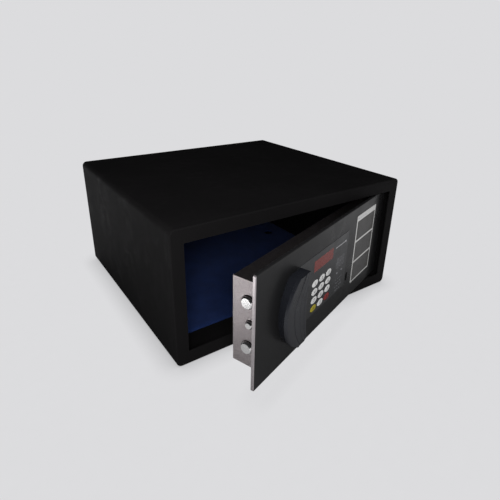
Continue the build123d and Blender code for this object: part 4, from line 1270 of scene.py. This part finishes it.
# %% Battery door
HATCH_LOW, HATCH_HIGH = shut_box("battery_cover")
RIB_COUNT = 7
RIB_HALF = 0.6 * MM
RIB_RISE = 0.7 * MM
RIB_FIRST = 0.18                 # these three are shares of the cover's height and width
RIB_PITCH = 0.06
RIB_REACH = 0.24
hatch_size = HATCH_HIGH - HATCH_LOW
hatch_shape = bmesh.new()
hatch_face = HATCH_HIGH.y - RIB_RISE
add_prism(hatch_shape, rounded_rectangle(HATCH_LOW.x, HATCH_HIGH.x, HATCH_LOW.z, HATCH_HIGH.z, 1.5 * MM),
          HATCH_LOW.y, hatch_face)
hatch_middle = (HATCH_LOW.x + HATCH_HIGH.x) / 2
for rib in range(RIB_COUNT):
    z = HATCH_LOW.z + hatch_size.z * (RIB_FIRST + RIB_PITCH * rib)
    half_long = hatch_size.x * RIB_REACH
    add_prism(hatch_shape, rounded_rectangle(hatch_middle - half_long, hatch_middle + half_long,
                                             z - RIB_HALF, z + RIB_HALF, RIB_HALF * 0.95),
              hatch_face - RIB_RISE / 2, HATCH_HIGH.y)
finish_piece("battery_door", hatch_shape, module_black, "door", ["battery_cover"],
             soften=0.25 * MM)
print("battery door", [round(v * 1000, 1) for v in hatch_size], "mm")

# %% [markdown]
# ## The carpet
# The floor is lined with one cut piece of needle felt, with holes over the anchor bolts. Felt is
# never quite flat: it keeps slow waves from the roll, and its cut edge is soft. A fine grid is
# cut with four round cutters, then its upper skin is moved by a smooth noise.

# %% Felt mat
MAT_LOW, MAT_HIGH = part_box("floor_mat")
MAT_CELL = 4.0 * MM
MAT_HOLE_R = 10.0 * MM
mat_size = MAT_HIGH - MAT_LOW
mat_columns = round(mat_size.x / MAT_CELL)
mat_rows = round(mat_size.y / MAT_CELL)
anchors = next(mount for mount in frame["record"]["mounts"] if mount["name"] == "base_anchor")["dims"]
anchor_x, anchor_y = anchors["spacing_x_mm"] * MM / 2, anchors["spacing_y_mm"] * MM / 2
anchor_places = [(x, y) for x in (-anchor_x, anchor_x) for y in (-anchor_y, anchor_y)]

felt = bmesh.new()
levels = []
for z in (MAT_LOW.z, MAT_HIGH.z):
    levels.append([[felt.verts.new((MAT_LOW.x + mat_size.x * column / mat_columns,
                                    MAT_LOW.y + mat_size.y * row / mat_rows, z))
                    for column in range(mat_columns + 1)] for row in range(mat_rows + 1)])
under, upper = levels
for row in range(mat_rows):
    for column in range(mat_columns):
        for level in levels:
            felt.faces.new((level[row][column], level[row][column + 1],
                            level[row + 1][column + 1], level[row + 1][column]))
rim = [(0, column) for column in range(mat_columns)] + [(row, mat_columns) for row in range(mat_rows)]
rim += [(mat_rows, column) for column in range(mat_columns, 0, -1)]
rim += [(row, 0) for row in range(mat_rows, 0, -1)]
for (row, column), (next_row, next_column) in zip(rim, rim[1:] + rim[:1]):
    felt.faces.new((under[row][column], under[next_row][next_column],
                    upper[next_row][next_column], upper[row][column]))

cutters = bmesh.new()
for x, y in anchor_places:
    rings = [[(x + px, y + py, z) for px, py in oval(0, 0, MAT_HOLE_R, MAT_HOLE_R, 40)]
             for z in (MAT_LOW.z - MM, MAT_HIGH.z + MM)]
    add_loft(cutters, rings)
felt = carved(felt, cutters)

FELT_WAVE = 0.35 * MM            # slow waves left from the roll
FELT_NAP = 0.18 * MM             # unevenness of the fibre
FELT_EDGE = 1.0 * MM             # the cut edge slumps by this much
WAVES_PER_METRE = (14, 11)
FIBRES_PER_METRE = (240, 240)


def unevenness(x, y, per_metre, layer):
    """A smooth noise between 0 and 1."""
    return 0.5 + 0.5 * noise.noise(Vector((x * per_metre[0], y * per_metre[1], layer)))


for vertex in felt.verts:
    x, y, z = vertex.co
    if z > MAT_LOW.z + 0.5 * mat_size.z:
        slow = unevenness(x, y, WAVES_PER_METRE, 3.1)
        fast = unevenness(x, y, FIBRES_PER_METRE, 7.7)
        to_edge = min(x - MAT_LOW.x, MAT_HIGH.x - x, y - MAT_LOW.y, MAT_HIGH.y - y)
        slump = FELT_EDGE * (1 - ramp(to_edge / MAT_CELL))
        vertex.co.z -= FELT_WAVE * slow + FELT_NAP * fast + slump
mat = finish_piece("felt_mat", felt, mat_navy, "safe_body", ["floor_mat"], placed=STILL, sharp=60)

# %% [markdown]
# ## Floor and backdrop
# The safe stands on a plain pale sweep that runs out of sight. A black box swallows so much light
# that a plain white floor would turn murky round it, so the sweep gives off its own brightness,
# less of it close to the foot of the safe, where the sky is covered, and none right under it. A
# faint paper grain stops it being a flat colour. The room is pale to the eye and to dull surfaces,
# and dark to glossy ones, as a studio with black flags overhead is: then only the sweep mirrors in
# the paint and chrome.

# %% Pale sweep
SWEEP_HALF = 30.0
SWEEP_ROWS = 24
BACKDROP = (0.7157, 0.7157, 0.7305)
FLAGGED = (0.020, 0.020, 0.021)  # what glossy surfaces see of the room
SHADOW_REACH = 0.032             # how far out the shadow at the foot of the safe can be seen
SHADOW_FLOOR = 0.52              # light left where everything above is covered
# The mirror shadow is painted: only glossy rays see this wider, deeper shade on the sweep.
MIRROR_REACH = 0.40              # the same shadow, wider, as polished parts mirror it
MIRROR_FALL = 3.4                # how steeply it darkens there
SKY_SAMPLES = 8
FOOT_MARGIN = 4.0 * MM
sweep_paper, tree, inputs = start_finish("sweep_paper", (0.0, 0.0, 0.0), 1.0, Specular_IOR_Level=0.0,
                                         Emission_Strength=1.0)
paper = place(tree, mould_grain, Cells_per_metre=300.0)
where = object_space(tree)
beyond = []
for axis, half in (("X", CAD_BOX[1][0] - FOOT_MARGIN), ("Y", CAD_BOX[1][1] - FOOT_MARGIN)):
    reach = sum_of(tree, "ABSOLUTE", add(tree, "ShaderNodeSeparateXYZ", {0: where}).outputs[axis])
    beyond.append(spread(tree, reach, half - FOOT_MARGIN, half))
outside = sum_of(tree, "MAXIMUM", beyond[0], beyond[1])
# Both shadows are painted into the sweep's glow. Ambient occlusion dims it at the foot of the safe for everything
# that sees the sweep, and glossy rays alone see a wider, deeper painted shadow, so the lower parts of the polished
# steel mirror a darker floor.
open_sky, wide_sky = [
    add(tree, "ShaderNodeAmbientOcclusion", {"Distance": distance}, samples=SKY_SAMPLES).outputs["AO"]
    for distance in (SHADOW_REACH, MIRROR_REACH)
]
mirrored = add(tree, "ShaderNodeLightPath").outputs["Is Glossy Ray"]
painted_foot_shadow = spread(tree, open_sky, 0.0, 1.0, SHADOW_FLOOR, 1.0)
painted_mirror_shadow = sum_of(tree, "POWER", wide_sky, MIRROR_FALL)
shown = add(tree, "ShaderNodeMix", {0: mirrored, 2: painted_foot_shadow, 3: painted_mirror_shadow}).outputs[0]
lit = sum_of(tree, "MULTIPLY", shown, outside)
pale = tint(tree, paper["Tone"], shade(BACKDROP, 0.997), shade(BACKDROP, 1.003))
tree.links.new(tint(tree, lit, (0.0, 0.0, 0.0), pale), inputs["Emission Color"])
emboss(tree, inputs, paper["Height"], 0.00001)

sweep_shape = bmesh.new()
bmesh.ops.create_grid(sweep_shape, x_segments=SWEEP_ROWS, y_segments=SWEEP_ROWS, size=SWEEP_HALF)
sweep_mesh = bpy.data.meshes.new("pale_sweep")
sweep_shape.to_mesh(sweep_mesh)
sweep_shape.free()
sweep_mesh.materials.append(sweep_paper)
sweep = into_scene("pale_sweep", sweep_mesh)
sweep.location.z = CAD_BOX[0][2] - 0.2 * MM

world = bpy.data.worlds.new("pale_room")
bpy.context.scene.world = world
world.use_nodes = True
room = world.node_tree
is_glossy = add(room, "ShaderNodeLightPath").outputs["Is Glossy Ray"]
room.links.new(tint(room, is_glossy, BACKDROP, FLAGGED), room.nodes["Background"].inputs["Color"])
bpy.context.scene.view_settings.view_transform = "Standard"
print("sweep", 2 * SWEEP_HALF, "m wide")

# %% [markdown]
# ## Lights
# The key light hangs at the upper left. A box near the camera looks in through the half open door
# and lifts the carpet, and a wide one stands behind. They are linked so that they skip the sweep,
# and hidden from mirrors, so that no square lamp shows in the chrome. Only a small card that lies
# to the left is there to be mirrored: it brightens the upper part of the door's steel end, the
# flange of the bolt box and the bolts.

# %% Soft boxes
lit_by_room_only = bpy.data.collections.new("lit_by_room_only")
lit_by_room_only.objects.link(sweep)
lit_by_room_only.collection_objects[0].light_linking.link_state = "EXCLUDE"
SAFE_MIDDLE = Vector([(low + high) / 2 for low, high in zip(*CAD_BOX)])


def soft_box(name, offset, wide, tall, watts, aim=(0.0, 0.0, 0.0), mirrored=False):
    """An area light, placed and aimed from the middle of the safe, in metres."""
    lamp = bpy.data.lights.new(name, "AREA")
    lamp.shape = "RECTANGLE"
    lamp.size, lamp.size_y = wide, tall
    lamp.energy = watts
    holder = into_scene(name, lamp)
    holder.location = SAFE_MIDDLE + Vector(offset)
    toward = SAFE_MIDDLE + Vector(aim) - holder.location
    holder.rotation_euler = toward.to_track_quat("-Z", "Y").to_euler()
    holder.light_linking.receiver_collection = lit_by_room_only
    holder.visible_glossy = mirrored
    return holder


soft_box("key_box", (-0.75, -0.42, 0.62), 0.35, 0.35, 3.0, (-0.16, -0.25, 0.0))
soft_box("front_box", (-0.50, -0.78, 0.45), 0.25, 0.25, 6.0, (0.0, 0.05, -0.1))
soft_box("back_box", (0.4, 1.6, 1.3), 1.2, 0.6, 1.5)
card = soft_box("bounce_card", (-0.40, -0.12, -0.09), 0.14, 0.14, 0.22, (-0.20, -0.17, 0.09),
                mirrored=True)
card.visible_camera = False
card.visible_diffuse = False
print("soft boxes: 4")

# %% [markdown]
# ## Camera
# The camera looks down on the near left corner from about twice the height of the safe. Its place
# is given in metres from the model's origin, and its aim as azimuth, elevation and roll.

# %% Camera
CAMERA_PLACE = Vector((-0.38459, -0.60132, 0.39271))
CAMERA_AZIMUTH = radians(-35.19)
CAMERA_ELEVATION = radians(22.65)
CAMERA_ROLL = radians(1.07)
toward_camera = Vector((sin(CAMERA_AZIMUTH) * cos(CAMERA_ELEVATION),
                        -cos(CAMERA_AZIMUTH) * cos(CAMERA_ELEVATION), sin(CAMERA_ELEVATION)))
level_right = (-toward_camera).cross(Vector((0, 0, 1))).normalized()
level_up = level_right.cross(-toward_camera)
camera_right = cos(CAMERA_ROLL) * level_right + sin(CAMERA_ROLL) * level_up
camera_up = cos(CAMERA_ROLL) * level_up - sin(CAMERA_ROLL) * level_right
lens = bpy.data.cameras.new("camera")
lens.lens = 29.82
lens.sensor_width = 36.0
lens.shift_x = -0.0016
lens.shift_y = -0.0507
camera = into_scene("camera", lens)
aim = Matrix((camera_right, camera_up, toward_camera)).transposed().to_4x4()
camera.matrix_world = Matrix.Translation(CAMERA_PLACE) @ aim
bpy.context.scene.camera = camera
print("camera at", [round(v, 3) for v in CAMERA_PLACE])
